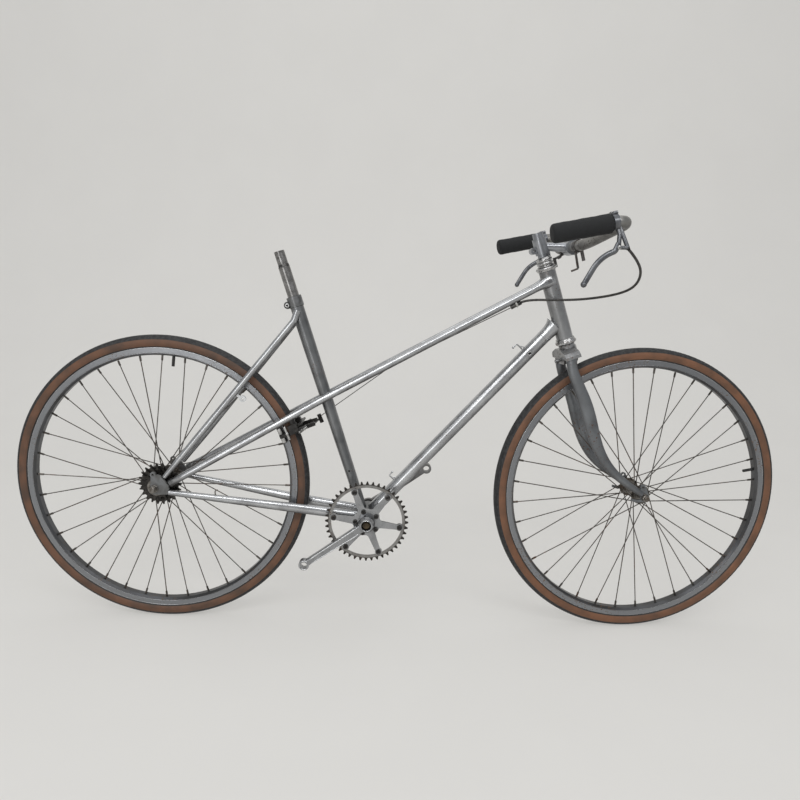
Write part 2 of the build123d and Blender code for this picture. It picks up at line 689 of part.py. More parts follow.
bend = radians(blade_bend_angle)
tip_up = 9.0
tip_ahead = fork_rake - 4
corner_up = tip_up + (tip_ahead + blade_set_back) / tan(bend)
tangent = blade_bend_radius * tan(bend / 2)
with BuildPart() as blades:
    for side in sides:
        stations = [(-blade_set_back, socket_foot, 0), (-blade_set_back, 250, 0)]
        for share in (0, 0.33, 0.67, 1):
            turn = bend * share
            stations.append((blade_bend_radius * (1 - cos(turn)) - blade_set_back,
                             corner_up + tangent - blade_bend_radius * sin(turn), turn))
        stations.append((tip_ahead, tip_up, bend))
        for ahead, up, turn in stations:
            share = (socket_foot - up) / (socket_foot - tip_up)
            offset = blade_offset_top + (blade_offset_foot - blade_offset_top) * share
            depth = blade_depth if share < 0.5 else blade_depth - (blade_depth - blade_tip) * (share - 0.5) * 2
            width = blade_width - (blade_width - blade_tip) * share
            away = steering.x_dir * sin(turn) - steer_up * cos(turn)
            with BuildSketch(Plane(origin=on_fork(ahead, side * offset, up), x_dir=steering.y_dir, z_dir=away)):
                Ellipse(width / 2, depth / 2)
        loft()
    for side in sides:
        plate = Plane(origin=on_fork(fork_rake, side * blade_offset_foot, 0), x_dir=steering.x_dir,
                      z_dir=-steering.y_dir)
        with BuildSketch(plate):
            Circle(10)
            Polygon((-9, 5), (-13, 17), (-4, 22), (9, 20), (10, 0), (0, -9), align=None)
            Polygon((0, -10), (-20, -5), (-31, 3), (-29, 8), (-18, 1), (0, -3), align=None)
            with Locations((2, 23.5)):
                Circle(6)
                Circle(2.8, mode=Mode.SUBTRACT)
            Circle(front_axle_diameter / 2 + 0.1, mode=Mode.SUBTRACT)
        extrude(amount=fork_dropout_thickness / 2, both=True)
save(blades, "fork_blades")

fork_inner = blade_offset_foot - fork_dropout_thickness / 2
fork_outer = blade_offset_foot + fork_dropout_thickness / 2
front_reach = fork_outer + axle_nut_height + axle_end
with BuildPart() as front_axle_part:
    rod(on_fork(fork_rake, -front_reach, 0), on_fork(fork_rake, front_reach, 0), front_axle_diameter / 2)
    for side in sides:
        rod(on_fork(fork_rake, side * fork_outer, 0), on_fork(fork_rake, side * (fork_outer + axle_nut_height), 0),
            axle_nut_diameter / 2)
        rod(on_fork(fork_rake, side * (front_flange + hub_end + hub_end_gap), 0),
            on_fork(fork_rake, side * fork_inner, 0), axle_nut_diameter / 2)
save(front_axle_part, "front_axle")

# ---------------------------------------------------------------- headset nut, stem, bar and grips
with BuildPart() as headset_top:
    for low, high, radius in ((0, 5, 14), (5, 11, 16.5), (11, stack_top - stack_foot, 14.2)):
        rod(on_fork(0, 0, stack_foot + low), on_fork(0, 0, stack_foot + high), radius)
    rod(on_fork(0, 0, stack_foot), on_fork(0, 0, stack_top), steerer_diameter / 2 + 0.02, Mode.SUBTRACT)
save(headset_top, "headset_top")

level_ahead = (steering.x_dir * sin(head_rad) - steer_up * cos(head_rad)).normalized()
stem_middle = stem_collar_foot + stem_collar_height / 2
bar_at = on_fork(0, 0, stem_middle) + level_ahead * stem_reach
clamp_right = bar_at - steering.y_dir * bar_clamp_width / 2
clamp_left = bar_at + steering.y_dir * bar_clamp_width / 2
with BuildPart() as stem:
    rod(on_fork(0, 0, stack_top), on_fork(0, 0, quill_top), quill_diameter / 2)
    rod(on_fork(0, 0, stem_collar_foot), on_fork(0, 0, stem_collar_foot + stem_collar_height),
        stem_collar_diameter / 2)
    cone(on_fork(0, 0, stem_middle), bar_at, stem_root_width / 2, stem_tip_width / 2)
    rod(clamp_right, clamp_left, bar_clamp_diameter / 2)
    rod(on_fork(-18, -9, stem_middle - 5), on_fork(-18, 9, stem_middle - 5), 7)
    rod(on_fork(-18, -10, stem_middle - 5), on_fork(-18, -4, stem_middle - 5), 3, Mode.SUBTRACT)
    rod(clamp_right - steering.y_dir, clamp_left + steering.y_dir, bar_diameter / 2 + 0.05, Mode.SUBTRACT)
save(stem, "stem")

bar_local = steering.to_local_coords(bar_at)
bar_low = bar_local.Z


def on_bar(ahead, side, up):
    """Point on the bar or on what it carries; the left half is bent upwards."""
    return on_fork(ahead, side, up + max(0, side - bar_straight) * left_rise)


def bar_path(side):
    """Centre line of half the bar, from its open end forward, round the bend and in to the stem."""
    return FilletPolyline(on_bar(-33, side * 203, 603.5), on_bar(113, side * 210, 585),
                          on_bar(bar_local.X, side * bar_straight, bar_low), on_bar(bar_local.X, 0, bar_low),
                          radius=[bar_bend_radius, 150])


def along_bar(path, distance):
    """Point on the bar's centre line, this far along it from its open end."""
    return path.position_at(max(0, distance) / path.length) + (path % 0) * min(0, distance)


bar_paths = [bar_path(side) for side in sides]
with BuildPart() as handlebar:
    for path in bar_paths:
        with BuildSketch(Plane(origin=path @ 0, z_dir=path % 0)):
            Circle(bar_diameter / 2)
        sweep(path=path)
save(handlebar, "handlebar")

with BuildPart() as grips:
    for path in bar_paths:
        rear, front = along_bar(path, -grip_cap), along_bar(path, grip_length - grip_cap)
        way = (front - rear).normalized()
        rod(rear + way * foam_edge, front - way * foam_edge, grip_diameter / 2)
        cone(rear, rear + way * foam_edge, grip_diameter / 2 - foam_edge, grip_diameter / 2)
        cone(front - way * foam_edge, front, grip_diameter / 2, grip_diameter / 2 - foam_edge)
        rod(path @ 0, front, bar_diameter / 2, Mode.SUBTRACT)
save(grips, "grips")

# ---------------------------------------------------------------- brake levers
with BuildPart() as levers:
    for side, path in zip(sides, bar_paths):
        middle = along_bar(path, lever_at)
        way = path % (lever_at / path.length)
        rod(middle - way * lever_clamp_width / 2, middle + way * lever_clamp_width / 2,
            bar_diameter / 2 + lever_clamp_wall)
        shoulder, hinge, nose = (on_bar(76, side * 215, 567), on_bar(67, side * 219, 546),
                                 on_bar(82.5, side * 220, 541))
        rod(middle + way * 2, shoulder, 4)
        rod(shoulder, hinge, 4)
        with Locations(shoulder):
            Sphere(4.1)
        rod(middle + way * 5, nose, 3.8)
        rod(hinge, nose, 3.5)
        rod(middle + steer_up * 13, middle + steer_up * 20, 3)
        rod(middle + steer_up * 17 - way * 4, middle + steer_up * 17 + way * 8, 3.4)
        blade = [on_bar(69, side * 219, 553), on_bar(59, side * 220, 542), on_bar(29, side * 222, 540),
                 on_bar(-12, side * 224, 503)]
        with BuildLine():
            FilletPolyline(*blade, radius=[8, 70])
        with BuildSketch(Plane(origin=blade[0], x_dir=steering.y_dir, z_dir=blade[1] - blade[0])):
            Ellipse(3.5, 5.2)
        sweep()
        with Locations(blade[3]):
            Sphere(5.6)
        with BuildSketch(Plane(origin=path @ 0, z_dir=path % 0)):
            Circle(bar_diameter / 2)
        sweep(path=path, mode=Mode.SUBTRACT)
save(levers, "brake_levers")

# ---------------------------------------------------------------- bag hooks under the bar
with BuildPart() as hooks:
    for side, low, reach in ((-1, 521, 15), (1, 550, 6)):
        band = on_bar(bar_local.X, side * 38, bar_low)
        rod(band, band + steering.y_dir * side * 12, bar_diameter / 2 + 2)
        rod(on_bar(bar_local.X - 9, side * 44, bar_low - 8), on_bar(50, side * 44, low), 2.5)
        rod(on_bar(50, side * 44, low), on_bar(50 - reach, side * 44, low - 1), 2)
        screw = bar_local.X + 4 if side < 0 else bar_local.X - 26
        rod(on_bar(bar_local.X, side * 44, bar_low - 9), on_bar(screw, side * 44, bar_low - 14), 2.5)
        rod(on_bar(screw, side * 44, bar_low - 11), on_bar(screw - 1, side * 44, bar_low - 32), 3.5)
    for path in bar_paths:
        with BuildSketch(Plane(origin=path @ 0, z_dir=path % 0)):
            Circle(bar_diameter / 2)
        sweep(path=path, mode=Mode.SUBTRACT)
save(hooks, "bag_hooks")

# ---------------------------------------------------------------- rear brake
brake_turn = radians(23.5)
radial = Vector(cos(brake_turn), 0, sin(brake_turn))
tangent_up = Vector(-sin(brake_turn), 0, cos(brake_turn))


def on_brake(out, side, up=0):
    """Point this far out from the rear axle along the brake's arms, to the left, and above them."""
    return rear_axle + radial * out + left * side + tangent_up * up


yoke = on_brake(375, 20, -4)
yoke_radius = 4.5
with BuildPart() as caliper:
    for side in sides:
        arm = [on_brake(286, side * 25, -3), on_brake(310, side * 31, -3), on_brake(332, side * 30, -2),
               on_brake(367, side * 20, -4)]
        with BuildLine():
            FilletPolyline(*arm, radius=10)
        with BuildSketch(Plane(origin=arm[0], x_dir=tangent_up, z_dir=arm[1] - arm[0])):
            RectangleRounded(9, 6, 2)
        sweep()
        with Locations(Plane(origin=on_brake(322, side * 31, 6), x_dir=radial, z_dir=tangent_up)):
            Box(20, 13, 17)
        rod(on_brake(325, side * 31, 10), on_brake(325, side * 31, 28), 6)
        with Locations(Plane(origin=on_brake(306, side * 37, 1), x_dir=radial, z_dir=tangent_up)):
            Box(5, 2.5, 32)
        rod(on_brake(306, side * 30, 0), on_brake(306, side * 37, 0), 3)
        rod(on_brake(329, side * 32, -8), on_brake(352, side * 31, -1), 3.6)
        rod(on_brake(352, side * 31, -1), on_brake(362, side * 22, -3), 2)
        rod(arm[3], yoke, 1.2)
    with Locations(Plane(origin=on_brake(337, 0, 8), x_dir=radial, z_dir=tangent_up)):
        Box(10, 64, 4)
    rod(yoke - tangent_up * 10, yoke + tangent_up * 10, yoke_radius)
    for side in sides:
        rod(lateral_line(side)[2], lateral_line(side)[1], lateral_diameter / 2, Mode.SUBTRACT)
save(caliper, "rear_brake_caliper")

with BuildPart() as pads:
    for side in sides:
        middle = on_brake(rim_edge_radius - 9, side * (rim_width / 2 + pad_gap + pad_thickness / 2), -2)
        with Locations(Plane(origin=middle, x_dir=tangent_up, z_dir=left)):
            Box(36, 9, pad_thickness)
    for side in sides:
        arm_foot = on_brake(286, side * 25, -3)
        arm_way = (on_brake(310, side * 31, -3) - arm_foot).normalized()
        with Locations(Plane(origin=arm_foot + arm_way * 10, x_dir=tangent_up, z_dir=arm_way)):
            Box(9.2, 6.2, 20.2, mode=Mode.SUBTRACT)
save(pads, "rear_brake_pads")

# ---------------------------------------------------------------- fittings brazed to the tubes
down_along = (down_tube_head - bracket).normalized()
down_over = Vector(-down_along.Z, 0, down_along.X)
with BuildPart() as fittings:
    for height, reach, turn in ((101, 14, 10), (506, 17, -11)):
        foot = bracket + down_along * height + down_over * (down_tube_diameter / 2 - 1)
        knee = foot + down_over * reach
        tip = knee + down_along * turn + down_over
        rod(foot, knee, 1.4)
        rod(foot + down_along * 7, knee - down_over * 6, 1.2)
        rod(knee, tip, 1.4)
        with Locations(tip):
            Sphere(2.6)
    with Locations(Plane(origin=bracket + down_along * 510 - left * down_tube_diameter / 2, x_dir=down_along,
                         z_dir=(0, -1, 0))):
        Box(11, 11, 5)
    rod(down_tube_head, bracket, down_tube_diameter / 2, Mode.SUBTRACT)
save(fittings, "down_tube_fittings")

lateral_way = (lateral_ends[1] - lateral_ends[0]).normalized()
stop_rear = lateral_ends[0] + lateral_way * stop_behind - left * 3 + Vector(0, 0, -13.3)
stop_front = stop_rear - lateral_way * stop_length
housing_turns = [stop_front - lateral_way * 13, on_fork(0, -36, 469), on_fork(46, -62, 457), on_fork(89, -110, 453),
                 on_fork(110, -150, 461), on_fork(112, -188, 487), on_fork(96, -214, 518)]
with BuildPart() as stop:
    rod(stop_rear, stop_front, stop_diameter / 2)
    rod(stop_rear - lateral_way * 12, stop_rear - lateral_way * 15, stop_band_diameter / 2)
    rod(lateral_ends[0], lateral_ends[1], lateral_diameter / 2, Mode.SUBTRACT)
save(stop, "cable_stop")

# ---------------------------------------------------------------- cables
yoke_top = yoke + tangent_up * 4
with BuildPart() as wire:
    rod(stop_rear + (wire_bend - stop_rear).normalized() * wire_gap, wire_bend, wire_diameter / 2)
    with Locations(wire_bend):
        Sphere(wire_diameter / 2)
    rod(wire_bend, yoke_top + (wire_bend - yoke_top).normalized() * (yoke_radius + wire_gap), wire_diameter / 2)
save(wire, "brake_wire")

housing_points = [stop_front, *housing_turns, on_bar(84, -219.8, 536.5)]
housing_radii = []
for before, corner, after in zip(housing_points, housing_points[1:], housing_points[2:]):
    turn = radians((corner - before).get_angle(after - corner))
    shorter = min((corner - before).length, (after - corner).length)
    housing_radii.append(0.45 * shorter / tan(turn / 2))
print("housing arcs", [round(radius) for radius in housing_radii])
with BuildPart() as housing:
    with BuildLine():
        FilletPolyline(*housing_points, radius=housing_radii)
    with BuildSketch(Plane(origin=housing_points[0], z_dir=housing_points[1] - housing_points[0])):
        Circle(housing_diameter / 2)
    sweep()
save(housing, "brake_housing")
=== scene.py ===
import json
from math import cos, pi, radians, sin

import bpy
import numpy as np
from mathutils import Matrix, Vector


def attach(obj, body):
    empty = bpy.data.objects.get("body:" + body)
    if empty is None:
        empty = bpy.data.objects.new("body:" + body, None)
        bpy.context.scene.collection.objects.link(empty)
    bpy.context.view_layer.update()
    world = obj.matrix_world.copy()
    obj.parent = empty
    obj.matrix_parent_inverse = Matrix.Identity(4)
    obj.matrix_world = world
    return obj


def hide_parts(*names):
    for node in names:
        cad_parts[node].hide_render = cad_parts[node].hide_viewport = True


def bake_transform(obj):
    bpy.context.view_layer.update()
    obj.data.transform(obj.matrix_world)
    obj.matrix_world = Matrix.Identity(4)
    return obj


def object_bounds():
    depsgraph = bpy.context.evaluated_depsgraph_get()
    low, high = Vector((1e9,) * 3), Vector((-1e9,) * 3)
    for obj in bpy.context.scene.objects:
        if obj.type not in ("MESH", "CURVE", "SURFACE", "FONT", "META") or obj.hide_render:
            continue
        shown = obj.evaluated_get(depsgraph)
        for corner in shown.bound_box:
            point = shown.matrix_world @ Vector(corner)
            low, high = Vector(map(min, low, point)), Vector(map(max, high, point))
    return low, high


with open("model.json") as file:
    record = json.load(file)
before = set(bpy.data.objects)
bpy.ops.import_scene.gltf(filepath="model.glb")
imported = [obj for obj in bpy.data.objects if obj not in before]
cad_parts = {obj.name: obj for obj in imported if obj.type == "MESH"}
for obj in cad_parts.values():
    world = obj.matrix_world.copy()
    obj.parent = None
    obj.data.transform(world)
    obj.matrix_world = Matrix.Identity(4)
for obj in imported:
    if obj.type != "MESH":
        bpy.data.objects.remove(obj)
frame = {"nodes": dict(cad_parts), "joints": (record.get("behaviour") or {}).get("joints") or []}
solids_low, solids_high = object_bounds()

# ================================================================ Camera
# It stands to the right of the bicycle, a little above its hub line and looking slightly down,
# near the pedals, so that both wheels are seen almost square on.
REAR_AXLE = Vector(next(joint["pos_m"] for joint in frame["joints"] if joint["name"] == "rear_wheel_turn"))
CAMERA_PLACE = REAR_AXLE + Vector((0.50174, -1.36178, 0.44948))
CAMERA_TURN = (79.4466, -1.6563, -0.5512)
CAMERA_LENS = 28.346

camera = bpy.data.objects.new("camera", bpy.data.cameras.new("camera"))
camera.data.lens = CAMERA_LENS
camera.data.sensor_width = 36
camera.data.clip_start = 0.05
camera.location = CAMERA_PLACE
camera.rotation_euler = [radians(a) for a in CAMERA_TURN]
bpy.context.scene.collection.objects.link(camera)
bpy.context.scene.camera = camera

# ================================================================ Frame tubes
# Thin steel tubes brazed without lugs and sprayed with silver enamel, still glossy above, with painted shade
# darkening what faces down, and rust freckles where stones went through it. The solids come from the part.
TUBES = ("seat_stays", "chain_stays", "tube_bridges", "down_tube_fittings")
SILVER = (0.56, 0.57, 0.58)
SILVER_SHADE = (0.40, 0.405, 0.415)
RUST = (0.10, 0.042, 0.018)
# Near-black tone of the painted shade laid on what faces down.
UNDERSIDE_SHADE_TONE = (0.040, 0.035, 0.031)


def metal_finish(name, colour, shade, rust=RUST, rust_level=0.62, metallic=0.9, roughness=0.28, patch=22.0,
                 speck=260.0, grime=0.0, scratch=0.3, bump=0.006, ring=None):
    """Worn metal or metallic paint. Colour wanders between two tones. Rust shows where fine noise is high
    inside the clusters of a slow one. Hairline scratches are the level lines of a third noise. What faces down
    gets painted shade: darker, rougher and less metallic. A ring is a tone that comes in between two distances from
    an axis."""
    finish = bpy.data.materials.new(name)
    finish.use_nodes = True
    nodes, links = finish.node_tree.nodes, finish.node_tree.links
    shader = nodes["Principled BSDF"]
    where = nodes.new("ShaderNodeTexCoord")

    def noise(scale, detail, distortion=0.0):
        node = nodes.new("ShaderNodeTexNoise")
        node.inputs["Scale"].default_value = scale
        node.inputs["Detail"].default_value = detail
        node.inputs["Distortion"].default_value = distortion
        links.new(where.outputs["Object"], node.inputs["Vector"])
        return node.outputs["Fac"]

    def span(source, low, high, least=0.0, most=1.0):
        node = nodes.new("ShaderNodeMapRange")
        for socket, value in zip(("From Min", "From Max", "To Min", "To Max"), (low, high, least, most)):
            node.inputs[socket].default_value = value
        links.new(source, node.inputs["Value"])
        return node.outputs["Result"]

    def feed(socket, value):
        if isinstance(value, bpy.types.NodeSocket):
            links.new(value, socket)
        else:
            socket.default_value = value

    def combine(operation, first, second=0.0, kind="ShaderNodeMath"):
        node = nodes.new(kind)
        node.operation = operation
        feed(node.inputs[0], first)
        feed(node.inputs[1], second)
        return node.outputs["Value" if kind == "ShaderNodeMath" or operation == "LENGTH" else "Vector"]

    def mix(factor, first, second):
        node = nodes.new("ShaderNodeMix")
        node.data_type = "RGBA"
        links.new(factor, node.inputs["Factor"])
        for socket, value in ((node.inputs[6], first), (node.inputs[7], second)):
            feed(socket, (*value, 1) if isinstance(value, tuple) else value)
        return node.outputs[2]

    tint = mix(span(noise(patch, 5, 0.4), 0.36, 0.66), colour, shade)
    if ring:
        centre, axis, near, far, tone = ring
        offset = combine("SUBTRACT", where.outputs["Object"], centre, "ShaderNodeVectorMath")
        across = combine("CROSS_PRODUCT", offset, axis, "ShaderNodeVectorMath")
        reach = combine("LENGTH", across, (0, 0, 0), "ShaderNodeVectorMath")
        tint = mix(span(reach, near, far), tint, tone)
    hairline = combine("ABSOLUTE", combine("SUBTRACT", noise(95, 1, 1.6), 0.5))
    worn = combine("MULTIPLY", span(hairline, 0.0, 0.006, scratch, 0.0), span(noise(14, 2), 0.45, 0.6))
    tint = mix(worn, tint, tuple(0.45 * tone for tone in colour))
    freckle = combine("MULTIPLY", span(noise(speck, 6, 0.2), rust_level, rust_level + 0.05),
                     span(noise(11, 3), 0.50, 0.60, 0.0, 1.0))
    tint = mix(freckle, tint, rust)
    cover = freckle
    if grime:
        # Painted shade: what faces down in the piece's own axes turns towards a near-black, broken by noise.
        facing = nodes.new("ShaderNodeSeparateXYZ")
        links.new(where.outputs["Normal"], facing.inputs[0])
        below = span(facing.outputs["Z"], 0.02, -0.62)
        shade_below = combine("MULTIPLY", below, span(noise(34, 4, 0.3), 0.25, 0.6, 0.55 * grime, grime))
        tint = mix(shade_below, tint, UNDERSIDE_SHADE_TONE)
        cover = combine("MAXIMUM", freckle, shade_below)
    links.new(tint, shader.inputs["Base Color"])
    gloss = combine("MAXIMUM", span(noise(30, 2, 0.6), 0.35, 0.65, roughness - 0.02, roughness + 0.05),
                   combine("MULTIPLY", cover, 0.7))
    links.new(gloss, shader.inputs["Roughness"])
    links.new(span(cover, 0.0, 1.0, metallic, 0.1), shader.inputs["Metallic"])
    relief = nodes.new("ShaderNodeBump")
    relief.inputs["Strength"].default_value = bump
    relief.inputs["Distance"].default_value = 0.0004
    links.new(noise(900, 3), relief.inputs["Height"])
    links.new(relief.outputs["Normal"], shader.inputs["Normal"])
    return finish


def dress(finish, *names):
    """Gives solids of the part a finish in place of their plain one."""
    for name in names:
        mesh = frame["nodes"][name].data
        mesh.materials.clear()
        mesh.materials.append(finish)


def coat(name, colour, shade, *solids, **looks):
    """Makes a worn metal and gives it to the named solids."""
    finish = metal_finish(name, colour, shade, **looks)
    dress(finish, *solids)
    return finish


enamel = coat(
    "silver_enamel", SILVER, SILVER_SHADE, *TUBES, rust_level=0.65, roughness=0.24, scratch=0.12, bump=0.002,
    grime=0.95)
# The seat tube and the head tube get darker, rougher copies of the enamel, with painted shade on what faces down.
coat(
    "dull_enamel", (0.235, 0.24, 0.245), (0.145, 0.15, 0.155), "seat_tube", "bottom_bracket_shell", rust_level=0.60,
    roughness=0.34, patch=18, grime=0.8)
coat(
    "head_enamel", (0.40, 0.405, 0.41), (0.25, 0.255, 0.26), "head_tube", rust_level=0.61, roughness=0.32, patch=20,
    grime=0.8)

# ---------------------------------------------------------------- Rear dropouts
# Flat steel plates slotted into the ends of the stays, painted with them but scraped by the wheel's nuts.
coat(
    "scraped_enamel", (0.20, 0.205, 0.21), (0.12, 0.118, 0.115), "rear_dropouts", rust_level=0.57, metallic=0.7,
    roughness=0.42, patch=60, scratch=0.6, grime=0.6)

# ================================================================ Seat post and clamp
# An alloy post whose narrow top is bare where the saddle's clamp sat. Corroded and chipped round the step.
coat(
    "post_alloy", (0.34, 0.335, 0.33), (0.17, 0.165, 0.16), "seat_post", rust=(0.06, 0.055, 0.05), rust_level=0.55,
    metallic=0.9, roughness=0.26, patch=55, scratch=0.6)
coat(
    "seat_collar_steel", (0.24, 0.245, 0.25), (0.13, 0.13, 0.13), "seat_clamp", rust_level=0.58, metallic=0.8,
    roughness=0.34, patch=80, grime=0.7)

# ================================================================ Fork, headset and stem
# Steel fork in the same enamel, a shade darker, on black-greased bearings, and an alloy stem.
coat(
    "fork_enamel", (0.215, 0.225, 0.235), (0.14, 0.147, 0.155), "fork_blades", rust_level=0.61, roughness=0.38,
    metallic=0.75, grime=0.7)
coat(
    "crown_enamel", (0.42, 0.425, 0.43), (0.24, 0.245, 0.25), "fork_crown", rust_level=0.58, roughness=0.28,
    patch=45, grime=0.9)
bearing_steel = coat(
    "bearing_steel", (0.55, 0.55, 0.55), (0.30, 0.295, 0.29), "headset_cups", "headset_top", rust_level=0.57,
    metallic=0.95, roughness=0.2, patch=90, scratch=0.5)
coat(
    "stem_alloy", (0.36, 0.37, 0.39), (0.24, 0.25, 0.265), "stem", rust=(0.10, 0.095, 0.09), rust_level=0.6,
    metallic=0.85, roughness=0.3, patch=40, scratch=0.5)

# ================================================================ Handlebar, grips and levers
# A bent alloy bar, grey with oxide, with foam sleeves on its ends and a lever clamped ahead of each.
coat(
    "bar_alloy", (0.33, 0.325, 0.31), (0.20, 0.195, 0.185), "handlebar", rust=(0.10, 0.09, 0.08), rust_level=0.57,
    metallic=0.8, roughness=0.36, patch=34, scratch=0.7, grime=0.6)
coat(
    "lever_coat", (0.19, 0.195, 0.205), (0.10, 0.105, 0.115), "brake_levers", rust=(0.36, 0.36, 0.36),
    rust_level=0.64, metallic=0.75, roughness=0.33, patch=60, scratch=0.4, grime=0.5)
coat(
    "hook_steel", (0.13, 0.125, 0.12), (0.045, 0.042, 0.04), "bag_hooks", "cable_stop", rust_level=0.56,
    metallic=0.7, roughness=0.42, patch=90)

# The joints give the steering axis and the front axle, from which everything on the fork is placed.
joints = {joint["name"]: joint for joint in frame["joints"]}
steer_up = Vector(joints["steering_turn"]["axis"]).normalized()
steer_left = Vector(joints["front_wheel_turn"]["axis"]).normalized()
steer_ahead = steer_left.cross(steer_up)
front_axle = Vector(joints["front_wheel_turn"]["pos_m"])
FORK_RAKE = 0.0652
steer_foot = front_axle - steer_ahead * FORK_RAKE


def on_fork(ahead, left, up):
    """Point ahead of the steering axis, to its left and up along it, in millimetres."""
    return steer_foot + (steer_ahead * ahead + steer_left * left + steer_up * up) / 1000


# ---------------------------------------------------------------- Grips
# Sleeves of black closed-cell foam pushed onto the bar's ends, slightly uneven, rounded where they stop.
BAR_STRAIGHT, LEFT_RISE = 80, 0.055
GRIP_RADIUS, GRIP_START, GRIP_LENGTH = 0.0175, -0.005, 0.110


def closed_rings(rings, foot, head):
    """Faces between neighbouring rings, an array of ring by point, and a fan to a point at each end."""
    count, around = rings.shape[:2]
    points = np.vstack([rings.reshape(-1, 3), [foot], [head]])
    ring, step = np.meshgrid(np.arange(count - 1), np.arange(around), indexing="ij")
    after = (step + 1) % around
    quads = np.stack([ring * around + step, ring * around + after, (ring + 1) * around + after,
                      (ring + 1) * around + step], axis=-1).reshape(-1, 4)
    loop, last = np.arange(around), (count - 1) * around
    foot_fan = np.stack([np.roll(loop, -1), loop, np.full(around, len(points) - 2)], axis=-1)
    head_fan = np.stack([last + loop, last + np.roll(loop, -1), np.full(around, len(points) - 1)], axis=-1)
    return points, quads.tolist() + foot_fan.tolist() + head_fan.tolist()


def tube_shape(path, radii, around=24):
    """Closed tube: each ring is the path's point plus radius times cosine of one side vector and sine of the
    other, and both ends run in to a point."""
    path = np.asarray(path, float)
    radii = np.broadcast_to(np.asarray(radii, float), len(path))
    way = np.gradient(path, axis=0)
    way /= np.linalg.norm(way, axis=1)[:, None]
    first = np.cross(way[0], (0.31, 0.87, 0.38))
    side = np.empty_like(path)
    side[0] = first / np.linalg.norm(first)
    for ring in range(1, len(path)):
        turned = side[ring - 1] - way[ring] * side[ring - 1].dot(way[ring])
        side[ring] = turned / np.linalg.norm(turned)
    other = np.cross(way, side)
    angle = np.linspace(0, 2 * pi, around, endpoint=False)
    rings = (path[:, None] + radii[:, None, None] * (np.cos(angle)[None, :, None] * side[:, None]
             + np.sin(angle)[None, :, None] * other[:, None]))
    return closed_rings(rings, path[0], path[-1])


def oval_shape(path, across, half_across, half_up, around=24):
    """Closed tube of oval section: each ring is the path's point plus one half width times cosine along the
    given direction and the other times sine square to it."""
    path, across = np.asarray(path, float), np.asarray(across, float)
    way = np.gradient(path, axis=0)
    up = np.cross(way / np.linalg.norm(way, axis=1)[:, None], across)
    angle = np.linspace(0, 2 * pi, around, endpoint=False)[None, :, None]
    wide, high = (
        np.broadcast_to(np.asarray(half, float), len(path))[:, None, None] for half in (half_across, half_up))
    rings = path[:, None] + wide * np.cos(angle) * across + high * np.sin(angle) * up[:, None]
    return closed_rings(rings, path[0], path[-1])


def turned_shape(centre, axis, profile, around=48):
    """Turned piece: each (distance along the axis, radius) of its profile swung round the axis."""
    axis = np.asarray(axis, float) / np.linalg.norm(axis)
    profile = np.asarray(profile, float)
    side = np.cross(axis, (0.13, 0.21, 0.97))
    side /= np.linalg.norm(side)
    other = np.cross(axis, side)
    angle = np.linspace(0, 2 * pi, around, endpoint=False)
    rim = np.cos(angle)[:, None] * side + np.sin(angle)[:, None] * other
    rings = (np.asarray(centre)[None, None] + profile[:, 0, None, None] * axis
             + profile[:, 1, None, None] * rim[None])
    return closed_rings(
        rings, np.asarray(centre) + axis * profile[0, 0], np.asarray(centre) + axis * profile[-1, 0])


def turned_rings(centre, axis, rings, around=48):
    """Turned piece whose rings of (distance along the axis, radius) are in millimetres."""
    return turned_shape(centre, axis, np.asarray(rings) / 1000, around)


def ring_shape(centre, axis, loop, around=48):
    """Turned ring: a closed loop of (distance along the axis, radius) swung round the axis, with no caps."""
    points, faces = turned_shape(centre, axis, [*loop, loop[0]], around)
    return points, faces[:-2 * around]


def round_loop(beside, reach, size, steps=8):
    """Loop for a ring of round section, (beside, reach) its middle."""
    turn = -np.arange(steps) * 2 * pi / steps
    return [(beside + size * cos(t), reach + size * sin(t)) for t in turn]


def build_piece(name, shapes, finish, body=None, smooth=True):
    """Joins shapes, each its points and faces, into one object, which rides on a body where one is named."""
    points, faces, offset = [], [], 0
    for shape_points, shape_faces in shapes:
        points.append(shape_points)
        faces += [[index + offset for index in face] for face in shape_faces]
        offset += len(shape_points)
    mesh = bpy.data.meshes.new(name)
    mesh.from_pydata(np.vstack(points).tolist(), [], faces)
    mesh.polygons.foreach_set("use_smooth", [smooth] * len(mesh.polygons))
    mesh.materials.append(finish)
    piece = bpy.data.objects.new(name, mesh)
    bpy.context.scene.collection.objects.link(piece)
    if body:
        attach(piece, body)
    return piece


def plain_finish(name, colour, shade, roughness, scale, bump, distance=0.0005, spread=(0.4, 0.62)):
    """Rubber, foam or plastic: two tones over a noise, with relief from the same noise."""
    finish = bpy.data.materials.new(name)
    finish.use_nodes = True
    nodes, links = finish.node_tree.nodes, finish.node_tree.links
    shader = nodes["Principled BSDF"]
    shader.inputs["Roughness"].default_value = roughness
    where = nodes.new("ShaderNodeTexCoord")
    noise = nodes.new("ShaderNodeTexNoise")
    noise.inputs["Scale"].default_value = scale
    noise.inputs["Detail"].default_value = 6
    links.new(where.outputs["Object"], noise.inputs["Vector"])
    tone = nodes.new("ShaderNodeValToRGB")
    tone.color_ramp.elements[0].position, tone.color_ramp.elements[1].position = spread
    tone.color_ramp.elements[0].color = (*shade, 1)
    tone.color_ramp.elements[1].color = (*colour, 1)
    links.new(noise.outputs["Fac"], tone.inputs["Fac"])
    links.new(tone.outputs["Color"], shader.inputs["Base Color"])
    relief = nodes.new("ShaderNodeBump")
    relief.inputs["Strength"].default_value = bump
    relief.inputs["Distance"].default_value = distance
    links.new(noise.outputs["Fac"], relief.inputs["Height"])
    links.new(relief.outputs["Normal"], shader.inputs["Normal"])
    return finish


def on_bar(ahead, left, up):
    """Point on the bar, whose left half is bent a little upwards."""
    return on_fork(ahead, left, up + max(0, left - BAR_STRAIGHT) * LEFT_RISE)


